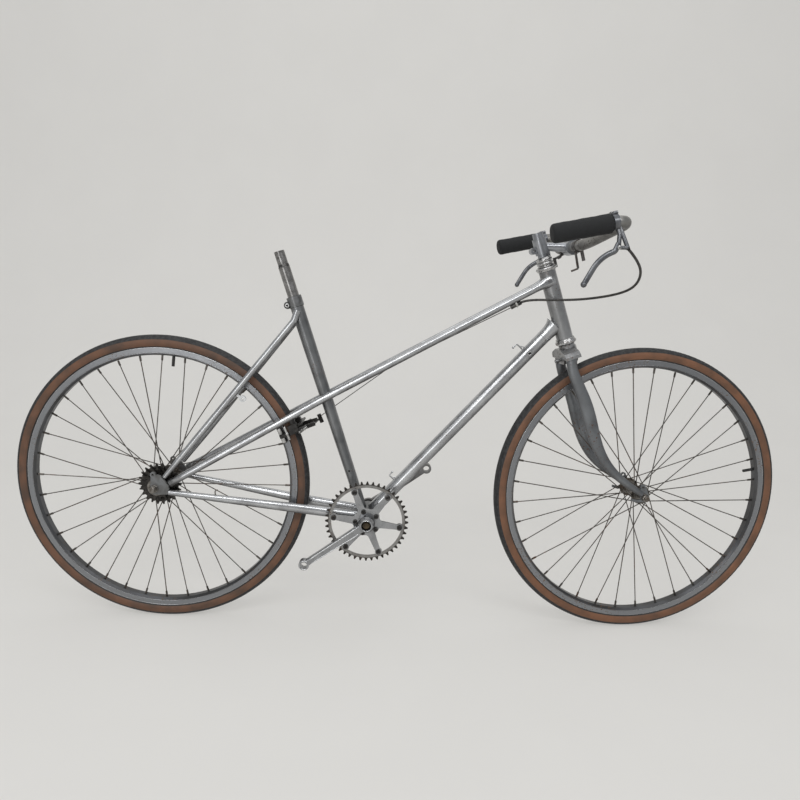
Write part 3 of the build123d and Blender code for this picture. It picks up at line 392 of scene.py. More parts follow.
def bar_end(side):
    """Rear end of one half of the bar, and the way forward along its straight end."""
    rear, front = on_bar(-33, side * 203, 603.5), on_bar(113, side * 210, 585)
    return rear, (front - rear).normalized()


def grip_shape(side):
    """Straight sleeve: its radius wanders by a slow sine and rounds off over the last 5 mm at each end."""
    rear, way = bar_end(side)
    edge = np.array([0, 0.0003, 0.001, 0.002, 0.0032, 0.0048])
    along = np.concatenate([edge, np.linspace(0.008, GRIP_LENGTH - 0.008, 40), GRIP_LENGTH - edge[::-1]])
    rounding = np.clip(np.minimum(along, GRIP_LENGTH - along) / 0.005, 0, 1)
    along = along + GRIP_START
    radius = GRIP_RADIUS * (0.66 + 0.34 * np.sqrt(1 - (1 - rounding) ** 2))
    radius = radius * (1 + 0.012 * np.sin(along * 160 + side) + 0.008 * np.sin(along * 390))
    path = np.asarray(rear)[None] + along[:, None] * np.asarray(way)[None]
    return tube_shape(path, np.maximum(radius, 0.0005), around=40)


foam = plain_finish("grip_foam", (0.016, 0.017, 0.018), (0.007, 0.0075, 0.008), 0.85, 1400, 0.5)
grips = build_piece("foam_grips", [grip_shape(-1), grip_shape(1)], foam, "steering")
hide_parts("grips")

# ---------------------------------------------------------------- Brake housing
# A black plastic-covered steel spiral that carries the inner wire from the right lever, forward and down
# in one loop and back beside the head tube to the stop on the lateral tube.
HOUSING_DIAMETER = 0.005
stop_mouth = REAR_AXLE + Vector((771.867, -17.248, 415.613)) / 1000
FIRST_TURN = REAR_AXLE + Vector((783.231, -17.017, 421.921)) / 1000
housing_route = [
    stop_mouth, FIRST_TURN, on_fork(0, -36, 469), on_fork(46, -62, 457), on_fork(89, -110, 453),
    on_fork(110, -150, 461), on_fork(112, -188, 487), on_fork(96, -214, 518), on_fork(84, -219.8, 536.5)]


def smooth_line(points):
    """Points along the order-three curve that the given points control and that starts and ends on them."""
    curve = bpy.data.curves.new("route", "CURVE")
    curve.dimensions = "3D"
    curve.resolution_u = 16
    spline = curve.splines.new("NURBS")
    spline.points.add(len(points) - 1)
    for spot, point in zip(spline.points, points):
        spot.co = (*point, 1)
    spline.order_u = 3
    spline.use_endpoint_u = True
    holder = bpy.data.objects.new("route", curve)
    drawn = bpy.data.meshes.new_from_object(holder)
    line = np.empty(len(drawn.vertices) * 3)
    drawn.vertices.foreach_get("co", line)
    bpy.data.objects.remove(holder)
    return line.reshape(-1, 3)


housing_line = smooth_line(housing_route)
cable_black = plain_finish("housing_plastic", (0.050, 0.044, 0.038), (0.016, 0.015, 0.014), 0.42, 160, 0.15)
housing_tube = tube_shape(housing_line, HOUSING_DIAMETER / 2, around=16)
housing = build_piece("brake_housing_tube", [housing_tube], cable_black)
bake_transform(housing)
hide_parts("brake_housing")

# ---------------------------------------------------------------- Headset races and rings
# Chromed steel cups pressed into the head tube, their lips rolled, with a race and a knurled ring on the
# fork's side of each bearing. Black grease sits in the gaps.
HEAD_TOP, HEAD_FOOT, RACE_TOP, STACK_FOOT = 533.0, 384.5, 370.9, 542.6
CUP_TOP_RINGS = (
    (0, 17.6), (0.4, 19.5), (2.2, 20.4), (3.6, 20.6), (4.6, 22.0), (5.6, 22.5), (7.0, 22.4), (8.2, 21.4),
    (9.0, 19.8))
CUP_FOOT_RINGS = ((0, 17.6), (-0.4, 19.6), (-3.4, 20.2), (-5.0, 20.6), (-6.4, 22.2), (-7.8, 22.5), (-9.4, 22.5),
                  (-10.8, 21.9), (-12.2, 20.6), (-13.0, 19.2))


def fork_turned(height, rings, around=64):
    """Turned piece on the steering axis from rings of (height above the given one, radius), in millimetres."""
    return turned_rings(on_fork(0, 0, height), steer_up, rings, around)


cups = build_piece(
    "headset_cup_rings", [fork_turned(HEAD_TOP, CUP_TOP_RINGS), fork_turned(HEAD_FOOT, CUP_FOOT_RINGS[::-1])],
    bearing_steel, "frame")
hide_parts("headset_cups")
LOCK_RINGS = ((0, 14.0), (0.3, 17.4), (1.6, 17.9), (2.6, 17.2), (3.4, 15.0), (4.4, 15.0), (4.8, 16.6), (5.4, 17.2),
              (9.0, 17.2), (9.6, 16.6), (10.0, 14.6), (11.0, 14.6), (11.3, 16.0), (12.2, 16.6), (15.6, 16.6),
              (17.2, 16.0), (17.8, 14.4), (20.4, 14.0))
lock_rings = build_piece("headset_lock_rings", [fork_turned(STACK_FOOT, LOCK_RINGS)], bearing_steel, "steering")
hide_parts("headset_top")
KNURLS, KNURL_REACH = 40, 17.15
knurl_angle = np.arange(KNURLS) * 2 * pi / KNURLS
build_piece(
    "headset_knurling",
    [tube_shape(
         [on_fork(KNURL_REACH * cos(a), KNURL_REACH * sin(a), STACK_FOOT + h) for h in (5.6, 7.2, 8.8)],
         [0.00035, 0.0006, 0.00035], around=6) for a in knurl_angle],
    bearing_steel, "steering")
black_grease = plain_finish("black_grease", (0.010, 0.009, 0.008), (0.004, 0.004, 0.004), 0.35, 300, 0.3)
build_piece(
    "bearing_grease",
    [fork_turned(RACE_TOP, ((-1.2, 15.0), (-0.8, 17.2), (0.4, 17.4), (0.9, 15.0))),
     fork_turned(HEAD_TOP, ((8.8, 15.0), (9.0, 17.2), (9.5, 17.0), (9.7, 14.0)))],
    black_grease, "frame")

# ---------------------------------------------------------------- Stem bolt and bar screws
# Plated steel screws: the stem's clamp bolt, one across the collar, and the slotted one on each lever's band.
screw_steel = metal_finish(
    "screw_steel", (0.62, 0.62, 0.61), (0.34, 0.335, 0.33), rust_level=0.56, metallic=0.95, roughness=0.22,
    patch=160, speck=500)
# Near-black: the lever ferrules' own black, and painted shade on the discs laid in sockets and holes where no hole
# is cut.
black_and_hole_shade = plain_finish("black_and_hole_shade", (0.006, 0.006, 0.006), (0.003, 0.003, 0.003), 0.7, 300, 0.1)


def round_head(face, way, radius, height, around=20):
    """Screw head: a short wall, then a quarter of a flattened circle to its top."""
    share = np.linspace(0, 1, 5)
    rings = [(0, radius)] + [
        (height * (0.45 + 0.55 * sin(t * pi / 2)), radius * (0.35 + 0.65 * cos(t * pi / 2))) for t in share]
    return turned_shape(face, way, rings, around)


def hex_head(face, way, radius, height):
    """Six-sided head with its outer corners turned off."""
    return turned_shape(
        face, way, [(0, radius * 0.94), (height * 0.18, radius), (height * 0.78, radius), (height, radius * 0.86)],
        6)


STEM_BOLT_AHEAD, STEM_BOLT_UP = -18, 581
build_piece(
    "stem_screws",
    [hex_head(on_fork(STEM_BOLT_AHEAD, 9, STEM_BOLT_UP), steer_left, 0.0052, 0.0035),
     round_head(on_fork(STEM_BOLT_AHEAD, -4.2, STEM_BOLT_UP), -steer_left, 0.0027, 0.002)],
    screw_steel, "steering", smooth=False)
LEVER_AT = 0.1085
lever_screw_shapes, lever_slot_shapes = [], []
for side in (-1, 1):
    rear, bar_way = bar_end(side)
    band = rear + bar_way * LEVER_AT
    lug_end = band + steer_up * 0.017 + bar_way * 0.0105
    lever_screw_shapes.append(round_head(lug_end - bar_way * 0.002, bar_way, 0.0032, 0.0026))
    lever_screw_shapes.append(
        turned_rings(band + steer_up * 0.0182, steer_up, [(0, 4.2), (0.5, 4.6), (1.3, 4.6), (1.6, 4)], 20))
    lever_screw_shapes.append(round_head(on_bar(67, side * 223, 546), steer_left * side, 0.0036, 0.0014))
    lever_slot_shapes.append(
        turned_rings(on_bar(83, side * 220, 539.5), -steer_up, [(-2, 3), (0, 3.4), (2, 3.4), (2.8, 2.6)], 16))
build_piece("lever_screws", lever_screw_shapes, screw_steel, "steering")
build_piece("lever_ferrules", lever_slot_shapes, black_and_hole_shade, "steering")

# ---------------------------------------------------------------- Seat clamp bolt and post step
# A hexagon bolt through the ears of the collar, on a black washer, and the bruised edge where the post narrows.
SEAT_UP, SEAT_AHEAD = Vector((-0.31233, 0, 0.94997)), Vector((0.94997, 0, 0.31233))
SEAT_FOOT = Vector((449.155, 0, -72.718))


def on_seat(up, ahead=0.0, left=0.0):
    """Point up the seat tube's axis from its foot, ahead of it and to its left, in millimetres."""
    return REAR_AXLE + (SEAT_FOOT + SEAT_UP * up + SEAT_AHEAD * ahead + Vector((0, left, 0))) / 1000


RIGHT, LEFT = Vector((0, -1, 0)), Vector((0, 1, 0))
CLAMP_UP, CLAMP_AHEAD = 498, -17
POST_STEP, COLLAR_TOP, COLLAR_FOOT = 577.1, 512, 490
build_piece(
    "clamp_washers",
    [turned_rings(
         on_seat(CLAMP_UP, CLAMP_AHEAD, side * 9.6), (0, side, 0), [(0, 6.6), (0.5, 7), (1.6, 7), (2, 6.4)], 28)
     for side in (-1, 1)],
    black_grease, "frame")
build_piece(
    "clamp_bolt",
    [hex_head(on_seat(CLAMP_UP, CLAMP_AHEAD, -11), RIGHT, 0.0052, 0.0030),
     hex_head(on_seat(CLAMP_UP, CLAMP_AHEAD, 11), LEFT, 0.0056, 0.0036)],
    screw_steel, "frame", smooth=False)
# The dark disc on the bolt's head is painted shade in its socket.
build_piece(
    "clamp_socket", [turned_rings(on_seat(CLAMP_UP, CLAMP_AHEAD, -13.95), RIGHT, [(0, 2.4), (0.3, 2.4)], 12)],
    black_and_hole_shade, "frame")
step_steel = metal_finish(
    "step_steel", (0.10, 0.098, 0.095), (0.035, 0.033, 0.032), rust=(0.5, 0.5, 0.48), rust_level=0.60, metallic=0.6,
    roughness=0.4, patch=120)


def bruised_ring(height, rings, wobble, count, around=48):
    """Turned ring on the post whose radius also wanders by a sine round it."""
    points, faces = turned_rings(on_seat(height), SEAT_UP, rings, around)
    middle = np.asarray(on_seat(height))
    along = (points - middle) @ np.asarray(SEAT_UP)
    spoke = points - middle - along[:, None] * np.asarray(SEAT_UP)
    turn = np.arctan2(spoke[:, 1], spoke @ np.asarray(SEAT_AHEAD))
    return middle + along[:, None] * np.asarray(SEAT_UP) + spoke * (
        1 + wobble * np.sin(count * turn))[:, None], faces


POST_RINGS = ((-2.0, 12.0), (-1.4, 12.34), (-0.2, 12.34), (0.6, 11.8), (2.2, 11.6), (4.6, 11.3), (5.2, 11.0))
build_piece("post_step", [bruised_ring(POST_STEP, POST_RINGS, 0.012, 7)], step_steel, "frame")
build_piece(
    "collar_rings",
    [bruised_ring(COLLAR_TOP, ((-0.3, 14.0), (0.0, 15.6), (0.5, 15.4), (0.7, 12.3)), 0.0, 1),
     bruised_ring(COLLAR_FOOT, ((-0.7, 14.3), (-0.5, 15.3), (0.0, 15.6), (0.3, 14.4)), 0.0, 1)],
    black_grease, "frame")

# ================================================================ Wheels
# Steel-laced alloy rims on worn steel hubs, with gum-sided tyres. The tread is a ribbed black cap over
# brown side walls, greyed with dust.
for wheel in ("front", "rear"):
    joint = joints[f"{wheel}_wheel_turn"]
    # The braking faces are worn bright out to the edge, and the well inside them is dark with dirt.
    coat(
        f"{wheel}_rim_alloy", (0.115, 0.118, 0.125), (0.075, 0.074, 0.074), f"{wheel}_rim",
        rust=(0.13, 0.075, 0.04), rust_level=0.585, metallic=0.85, roughness=0.3, patch=16, scratch=0.5,
        ring=(joint["pos_m"], joint["axis"], 0.2862, 0.2885, (0.25, 0.258, 0.272)))
    coat(
        f"{wheel}_hub_steel", (0.24, 0.225, 0.205), (0.10, 0.088, 0.075), f"{wheel}_hub", rust_level=0.53,
        metallic=0.8, roughness=0.36, patch=90, speck=420,
        ring=(joint["pos_m"], joint["axis"], 0.0150, 0.0162, (0.13, 0.112, 0.092)))
spoke_steel = coat(
    "spoke_steel", (0.135, 0.125, 0.115), (0.065, 0.056, 0.048), "front_spokes", "rear_spokes", rust_level=0.54,
    metallic=0.8, roughness=0.36, patch=120)
axle_steel = metal_finish(
    "axle_steel", (0.27, 0.255, 0.235), (0.10, 0.088, 0.075), rust_level=0.55, metallic=0.8, roughness=0.34,
    patch=110, speck=420)
coat(
    "cog_steel", (0.060, 0.055, 0.050), (0.014, 0.013, 0.012), "freewheel", "bearing_cups", rust=(0.42, 0.40, 0.37),
    rust_level=0.64, metallic=0.75, roughness=0.36, patch=160)

# ---------------------------------------------------------------- Axles, nuts and washers
# Threaded steel axles held by six-sided nuts on toothed washers, with cones and lock nuts inside the plates.
THREAD_PITCH = 1.0


def threaded(near, far, radius):
    """Rings of a threaded length: the radius swings by a cosine with the pitch."""
    steps = int(abs(far - near) / THREAD_PITCH * 6)
    along = np.linspace(near, far, steps + 1)
    depth = 0.22 * (1 - np.cos(along * 2 * pi / THREAD_PITCH))
    return np.stack([along, radius - depth], axis=-1)


def axle_shapes(middle, across, thread, plate_in, plate_out, hub_ends):
    """Shapes of one axle set: the rod, and at each end the thread, the nut, its washer, and the cone inside."""
    shapes = [turned_rings(middle, across, [(-plate_out, thread), (plate_out, thread)], 24)]
    for side, hub_end in zip((-1, 1), hub_ends):
        way = tuple(side * a for a in across)
        washer = [(plate_out, 8.2), (plate_out + 0.4, 8.5), (plate_out + 1.6, 8.5), (plate_out + 2, 8.0)]
        nut = [(plate_out + 2, 8.0), (plate_out + 2.8, 8.5), (plate_out + 7, 8.5), (plate_out + 8, 7.2)]
        cone = [(hub_end + 0.4, 6.2), (hub_end + 2.4, 7.8), (plate_in - 3.6, 7.8), (plate_in - 3.4, 7.0),
                (plate_in - 3, 8.4), (plate_in - 0.1, 8.4)]
        shapes += [turned_rings(middle, way, threaded(plate_out - 1, plate_out + 13, thread), 24),
                   turned_rings(middle, way, washer, 36), turned_rings(middle, way, nut, 6),
                   turned_rings(middle, way, cone, 24)]
    return shapes


rear_axle_set = build_piece(
    "rear_axle_set", axle_shapes(REAR_AXLE, (0.0, 1.0, 0.0), 4.95, 60.0, 65.0, (53.0, 38.0)), axle_steel, "frame",
    smooth=False)
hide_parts("rear_axle")
front_axle_set = build_piece(
    "front_axle_set", axle_shapes(front_axle, tuple(steer_left), 4.45, 49.0, 53.0, (34.0, 34.0)), axle_steel,
    "steering", smooth=False)
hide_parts("front_axle")

# ---------------------------------------------------------------- Spoke heads and elbows
# Each spoke is a steel wire with a cold-formed head. Half of them leave each flange outwards and half inwards,
# so heads and bent elbows take turns round its edge.
SPOKES, CROSSINGS, FLANGE_HALF = 36, 3, 0.0013
WHEEL_SIZES = {"rear": ((-18.0, 34.0), 24.0, 83.8), "front": ((-30.0, 30.0), 21.0, 10.6)}
for wheel, (flanges, flange_radius, valve_angle) in WHEEL_SIZES.items():
    joint = joints[f"{wheel}_wheel_turn"]
    middle, across = Vector(joint["pos_m"]), Vector(joint["axis"]).normalized()
    wheel_ahead = across.cross(Vector((0, 0, 1))).normalized()
    wheel_up = wheel_ahead.cross(across)
    shapes = []
    for index in range(SPOKES):
        side, flange = (1, flanges[1]) if index % 2 else (-1, flanges[0])
        lead = 1 if index // 2 % 2 == 0 else -1
        rim_angle = radians(valve_angle) + 2 * pi * (index + 0.5) / SPOKES
        hub_angle = rim_angle + lead * 4 * pi * CROSSINGS / SPOKES
        spot = (wheel_ahead * cos(hub_angle) + wheel_up * sin(hub_angle)) * (flange_radius - 3.5) / 1000
        face = middle + spot + across * (flange / 1000 + side * FLANGE_HALF)
        if lead > 0:
            shapes.append(turned_rings(face, across * side, [(-0.5, 1.1), (2.4, 1.1), (3.1, 0.7)], 8))
            shapes.append(
                turned_rings(
                    face - across * side * 2 * FLANGE_HALF, -across * side, [(0, 1.8), (0.7, 1.7), (1.1, 0.9)], 8))
        else:
            shapes.append(turned_rings(face, across * side, [(0, 2.1), (0.8, 2), (1.4, 1)], 8))
    build_piece(f"{wheel}_spoke_heads", shapes, spoke_steel, f"{wheel}_wheel")

# ---------------------------------------------------------------- Freewheel lock ring
# The notched ring that closes the freewheel's bearing, polished by the remover, inside the smallest cog.
build_piece(
    "freewheel_lock_ring",
    [turned_rings(
         REAR_AXLE + RIGHT * 0.053, RIGHT,
         [(0, 10), (0.2, 18.6), (1, 19), (1.4, 18.6), (1.5, 13.5), (0.6, 12.8), (0.5, 10)], 48)],
    axle_steel, "rear_wheel")

# ---------------------------------------------------------------- Tyres
# Gum-sided tyres: a ribbed black tread over brown side walls, greyed with dust, and a black chafer at the rim.
TYRE_MIDDLE, TYRE_HALF, TREAD_EDGE, CHAFER_EDGE, BEAD_ANGLE = 0.3085, 0.0165, 60, 122, 148
TREAD_STEPS, SECTION_STEPS = 960, 56
GROOVE_ANGLES, GROOVE_WIDTH, TREAD_CUTS = (16, 34), 2.2, 168


def tyre_shape(centre, axis):
    """Torus open at the rim. Radius of its section is the tyre's, less grooves: two rings of grooves run round
    the tread, and slanted cuts cross its shoulders; past the tread's edge the wall steps in."""
    axis = np.asarray(axis, float)
    up = np.cross(axis, (1.0, 0, 0))
    up /= np.linalg.norm(up)
    ahead = np.cross(up, axis)
    around = np.linspace(0, 2 * pi, TREAD_STEPS, endpoint=False)[:, None]
    section = np.radians(np.linspace(-BEAD_ANGLE, BEAD_ANGLE, SECTION_STEPS))[None]
    tilt = np.abs(np.degrees(section))
    groove = sum(np.exp(-((tilt - angle) / GROOVE_WIDTH) ** 2) for angle in GROOVE_ANGLES)
    phase = (around * TREAD_CUTS / (2 * pi) + tilt / 26) % 1
    cut = ((tilt > 37) & (tilt < TREAD_EDGE) & (phase < 0.3)) | ((tilt < 12) & (phase > 0.8))
    cap = 1 / (1 + np.exp((tilt - TREAD_EDGE) / 1.2))
    depth = 0.0008 * groove + 0.0007 * cut + 0.0011 * (1 - cap)
    reach = TYRE_HALF - depth
    flat = 1 - 0.10 * np.clip((tilt - 110) / 40, 0, 1)
    outward = TYRE_MIDDLE + reach * np.cos(section)
    sideways = np.broadcast_to(reach * np.sin(section) * flat, outward.shape)
    rim = np.cos(around)[..., None] * ahead + np.sin(around)[..., None] * up
    points = np.asarray(centre) + outward[..., None] * rim + sideways[..., None] * axis
    turn, step = np.meshgrid(np.arange(TREAD_STEPS), np.arange(SECTION_STEPS - 1), indexing="ij")
    after = (turn + 1) % TREAD_STEPS
    quads = np.stack([turn * SECTION_STEPS + step, after * SECTION_STEPS + step, after * SECTION_STEPS + step + 1,
                      turn * SECTION_STEPS + step + 1], axis=-1).reshape(-1, 4)
    foot, head = np.arange(TREAD_STEPS) * SECTION_STEPS, np.arange(TREAD_STEPS) * SECTION_STEPS + SECTION_STEPS - 1
    close = np.stack([np.roll(foot, -1), foot, head, np.roll(head, -1)], axis=-1)
    return points.reshape(-1, 3), quads.tolist() + close.tolist()


tread_rubber = plain_finish("tread_rubber", (0.036, 0.036, 0.036), (0.015, 0.015, 0.016), 0.7, 160, 0.3)
chafer_rubber = plain_finish("chafer_rubber", (0.026, 0.023, 0.021), (0.010, 0.010, 0.010), 0.6, 120, 0.2)
WALL_TONES = {
    "front": ((0.205, 0.092, 0.047), (0.120, 0.060, 0.034)), "rear": ((0.150, 0.070, 0.038), (0.078, 0.044, 0.028))}
for wheel in ("front", "rear"):
    joint = joints[f"{wheel}_wheel_turn"]
    wall_rubber = plain_finish(f"{wheel}_wall_rubber", *WALL_TONES[wheel], 0.62, 26, 0.12, spread=(0.34, 0.66))
    tyre = build_piece(
        f"{wheel}_tread_tyre", [tyre_shape(joint["pos_m"], joint["axis"])], wall_rubber, f"{wheel}_wheel")
    tyre.data.materials.append(tread_rubber)
    tyre.data.materials.append(chafer_rubber)
    column = np.tile(np.arange(SECTION_STEPS - 1), TREAD_STEPS)
    angle = np.abs(-BEAD_ANGLE + (column + 0.5) * 2 * BEAD_ANGLE / (SECTION_STEPS - 1))
    slots = np.concatenate(
        [np.where(angle < TREAD_EDGE, 1, np.where(angle > CHAFER_EDGE, 2, 0)), np.full(TREAD_STEPS, 2)])
    tyre.data.polygons.foreach_set("material_index", slots)
    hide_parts(f"{wheel}_tyre")

# ---------------------------------------------------------------- Rim edges
# The rolled lips of the rims, rubbed bright beside the tyre, and the wear line pressed into each braking face.
edge_alloy = metal_finish(
    "edge_alloy", (0.52, 0.53, 0.55), (0.24, 0.24, 0.24), rust=(0.10, 0.06, 0.04), rust_level=0.57, metallic=0.9,
    roughness=0.25, patch=18)
for wheel in ("front", "rear"):
    joint = joints[f"{wheel}_wheel_turn"]
    shapes = []
    for side in (-1, 1):
        for beside, reach, size in ((0.0108, 0.2977, 0.0009), (0.0115, 0.2868, 0.0004)):
            shapes.append(ring_shape(joint["pos_m"], joint["axis"], round_loop(side * beside, reach, size), 180))
    build_piece(f"{wheel}_rim_edges", shapes, edge_alloy, f"{wheel}_wheel")

# ---------------------------------------------------------------- Valves
# A thin brass stem with a long black dust cap, which points in from the rim towards the hub.
dress(
    plain_finish("valve_cap", (0.020, 0.018, 0.017), (0.009, 0.009, 0.009), 0.5, 200, 0.1), "front_valve",
    "rear_valve")

# ================================================================ Crankset
# An alloy crank with a star of five bolts that holds a six-armed carrier, and on it a rusty steel ring.
BRACKET = REAR_AXLE + Vector((0.4559, 0, -0.0705))
coat(
    "crank_alloy", (0.36, 0.365, 0.375), (0.25, 0.255, 0.262), "crank_right", "chainring_carrier",
    rust=(0.07, 0.065, 0.06), rust_level=0.62, metallic=0.88, roughness=0.26, patch=30, scratch=0.6, grime=0.5)
# The far crank is the same alloy in a darker tone: painted shade on the far side.
coat(
    "far_crank_shaded_alloy", (0.20, 0.20, 0.20), (0.10, 0.098, 0.095), "crank_left", metallic=0.8, roughness=0.36,
    patch=30, grime=0.6)
coat(
    "ring_steel", (0.30, 0.295, 0.285), (0.20, 0.19, 0.18), "chainring", rust=(0.09, 0.05, 0.03), rust_level=0.56,
    metallic=0.8, roughness=0.34, patch=60, ring=(BRACKET, (0.0, 1.0, 0.0), 0.0832, 0.0850, (0.040, 0.036, 0.032)))
bolt_steel = coat(
    "bolt_steel", (0.085, 0.080, 0.075), (0.025, 0.023, 0.022), "chainring_bolts", rust_level=0.58, metallic=0.8,
    roughness=0.34, patch=150)
cap_steel = coat(
    "cap_steel", (0.10, 0.078, 0.05), (0.045, 0.036, 0.026), "crank_spindle", metallic=0.85, roughness=0.32,
    patch=90)
coat("wire_steel", (0.16, 0.155, 0.15), (0.07, 0.065, 0.06), "brake_wire", metallic=0.85, roughness=0.35, patch=200)

# ---------------------------------------------------------------- Crank ridges and recess
# The forged arm has a polished ridge along each edge of its flute, and the threaded recess round its bolt,
# open because the cap is lost, has a bright rim and is lined with black inside.
CRANK_ANGLE, CRANK_LENGTH = radians(214.2), 162.0
ARM_START, ARM_SPAN, ARM_LEAN, ARM_OUT = 8.0, 146.0, 8.0, 70.0
RIDGE_START, RIDGE_END = 20, 149
CRANK_WAY = Vector((cos(CRANK_ANGLE), 0, sin(CRANK_ANGLE)))
CRANK_SIDE = Vector((-sin(CRANK_ANGLE), 0, cos(CRANK_ANGLE)))


def on_crank(along, beside, out):
    """Point along the right crank from the spindle, to its upper side and out to the right, in millimetres."""
    return BRACKET + (CRANK_WAY * along - CRANK_SIDE * beside + RIGHT * out) / 1000


polished = metal_finish(
    "polished_alloy", (0.62, 0.63, 0.64), (0.45, 0.455, 0.465), rust=(0.1, 0.095, 0.09), rust_level=0.64,
    metallic=0.95, roughness=0.16, patch=40, scratch=0.5)


def crank_out(along):
    """How far out the arm's outer face is, which leans outwards from the boss to the pedal's eye."""
    return ARM_OUT + (along - ARM_START) / ARM_SPAN * ARM_LEAN


along = np.linspace(RIDGE_START, RIDGE_END, 44)
ease = np.clip(np.minimum(along - RIDGE_START, RIDGE_END - along) / 9, 0, 1) ** 0.5
half_arm = 9.25 - (along - ARM_START) / ARM_SPAN * 2.5
ridge_shapes = []
for beside, size in ((1, 2.0), (-1, 1.5)):
    path = [on_crank(a, beside * (h - size - 0.3), crank_out(a) - size * 0.45) for a, h in zip(along, half_arm)]
    ridge_shapes.append(tube_shape(path, np.maximum(size * ease, 0.1) / 1000, 14))
eye_way = on_crank(CRANK_LENGTH, 0, 78) - on_crank(CRANK_LENGTH, 0, 77)
ridge_shapes.append(ring_shape(on_crank(CRANK_LENGTH, 0, 77.6), eye_way, round_loop(0.0, 0.0099, 0.0011), 40))
build_piece("crank_ridges", ridge_shapes, polished, "cranks")
# A thin dark strip laid in the flute is painted shade in its hollow.
flute_path = [on_crank(a, 0, crank_out(a) - 1.8) for a in np.linspace(33, 129, 12)]
build_piece("crank_flute_shade", [oval_shape(flute_path, -CRANK_SIDE, 0.0032, 0.00025, 12)], bolt_steel, "cranks")
build_piece(
    "crank_recess",
    [turned_rings(BRACKET, RIGHT, [(66, 10.4), (66.3, 10.4)], 40),
     ring_shape(BRACKET, RIGHT, [(0.0661, 0.0106), (0.0661, 0.01098), (0.0716, 0.01098), (0.0716, 0.0106)], 48),
     ring_shape(BRACKET, RIGHT, round_loop(0.0622, 0.0180, 0.0005), 64)],
    black_grease, "cranks")
build_piece(
    "crank_recess_rim", [ring_shape(BRACKET, RIGHT, round_loop(0.0718, 0.0118, 0.0008), 64)], polished, "cranks")
build_piece(
    "crank_bolt", [hex_head(BRACKET + RIGHT * 0.0698, RIGHT, 0.0068, 0.0018)], cap_steel, "cranks", smooth=False)

# ---------------------------------------------------------------- Ring bolts
# Black domed bolts with a six-sided socket, six through the ring's pads and five round the crank's boss.
bolt_domes, bolt_sockets = [], []
for count, circle, start, radius in ((6, 73.25, -8.0, 0.0054), (5, 25.2, 34.2, 0.0050)):
    for turn in np.radians(start + np.arange(count) * 360 / count):
        face = BRACKET + Vector((circle * cos(turn), -52.45, circle * sin(turn))) / 1000
        bolt_domes.append(
            turned_shape(
                face, RIGHT,
                [(0, radius), (0.0004, radius * 0.96), (0.0007, radius * 0.8), (0.0007, radius * 0.55),
                 (0.0001, radius * 0.5)],
                24))
        # The six-sided dark disc on each dome is painted shade in its socket.
        bolt_sockets.append(turned_rings(face, RIGHT, [(0.1, 2.7), (0.3, 2.7)], 6))
build_piece("ring_bolt_domes", bolt_domes, bolt_steel, "cranks")
build_piece("ring_bolt_sockets", bolt_sockets, black_and_hole_shade, "cranks", smooth=False)

# ================================================================ Rear brake
# A centre-pull brake: two bent steel arms in black enamel, pinned to a plate under the lateral tubes.
coat(
    "brake_black", (0.045, 0.043, 0.042), (0.017, 0.016, 0.015), "rear_brake_caliper", rust=(0.30, 0.28, 0.26),
    rust_level=0.60, metallic=0.6, roughness=0.32, patch=110)
dress(plain_finish("pad_rubber", (0.042, 0.036, 0.030), (0.014, 0.013, 0.012), 0.75, 220, 0.2), "rear_brake_pads")

BRAKE_TURN = radians(23.5)
BRAKE_OUT = Vector((cos(BRAKE_TURN), 0, sin(BRAKE_TURN)))
BRAKE_UP = Vector((-sin(BRAKE_TURN), 0, cos(BRAKE_TURN)))


def on_brake(out, left, up):
    """Point out from the rear axle along the brake's arms, to the left, and above them, in millimetres."""
    return REAR_AXLE + (BRAKE_OUT * out + LEFT * left + BRAKE_UP * up) / 1000


adjuster_shapes, strip_shapes = [], []
for side in (-1, 1):
    foot, head = on_brake(329, side * 32, -8), on_brake(352, side * 31, -1)
    adjuster_shapes.append(turned_rings(foot, head - foot, threaded(0.3, 22.5, 3.95), 18))
    adjuster_shapes.append(hex_head(foot + (head - foot) * 0.55, head - foot, 0.0052, 0.0022))
    adjuster_shapes.append(round_head(on_brake(325, side * 31, 27.6), BRAKE_UP, 0.0044, 0.0016))
    strip_path = [on_brake(306, side * 38.3, u) for u in np.linspace(-14.6, 16.6, 20)]
    strip_shapes.append(oval_shape(strip_path, BRAKE_OUT, 0.0023, 0.0007, 12))
    strip_shapes.append(round_head(on_brake(306, side * 38.6, 0), LEFT * side, 0.0032, 0.0020))
    shoe_path = [on_brake(289, side * 22.3, u) for u in np.linspace(-19, 15, 16)]
    strip_shapes.append(oval_shape(shoe_path, BRAKE_OUT, 0.0040, 0.0007, 12))
build_piece("brake_adjusters", adjuster_shapes, screw_steel, "frame", smooth=False)
build_piece("brake_strips", strip_shapes, screw_steel, "frame")

# ================================================================ Small fittings on the frame
# The stop's white sleeve band, the hole in the lamp boss, and the bent peg that kept the chain off the stay.
STOP_WAY = (stop_mouth - FIRST_TURN).normalized()
stop_rear = stop_mouth + STOP_WAY * 0.024
sleeve_white = plain_finish("sleeve_white", (0.56, 0.56, 0.53), (0.36, 0.355, 0.33), 0.5, 240, 0.1)
build_piece(
    "stop_band",
    [turned_rings(
         stop_rear, -STOP_WAY, [(11.6, 4), (11.8, 5.4), (12.2, 5.7), (14.8, 5.7), (15.2, 5.4), (15.4, 4)], 28)],
    sleeve_white, "frame")
build_piece(
    "stop_ferrule", [turned_rings(stop_rear, -STOP_WAY, [(16.6, 3.9), (16.8, 4.3), (23.6, 4.3), (23.9, 3.6)], 28)],
    black_grease, "frame")
DOWN_WAY = Vector((0.6696, 0, 0.7428))
BOSS_UP = 510
boss = REAR_AXLE + (Vector((455.9, 0, -70.5)) + DOWN_WAY * BOSS_UP) / 1000
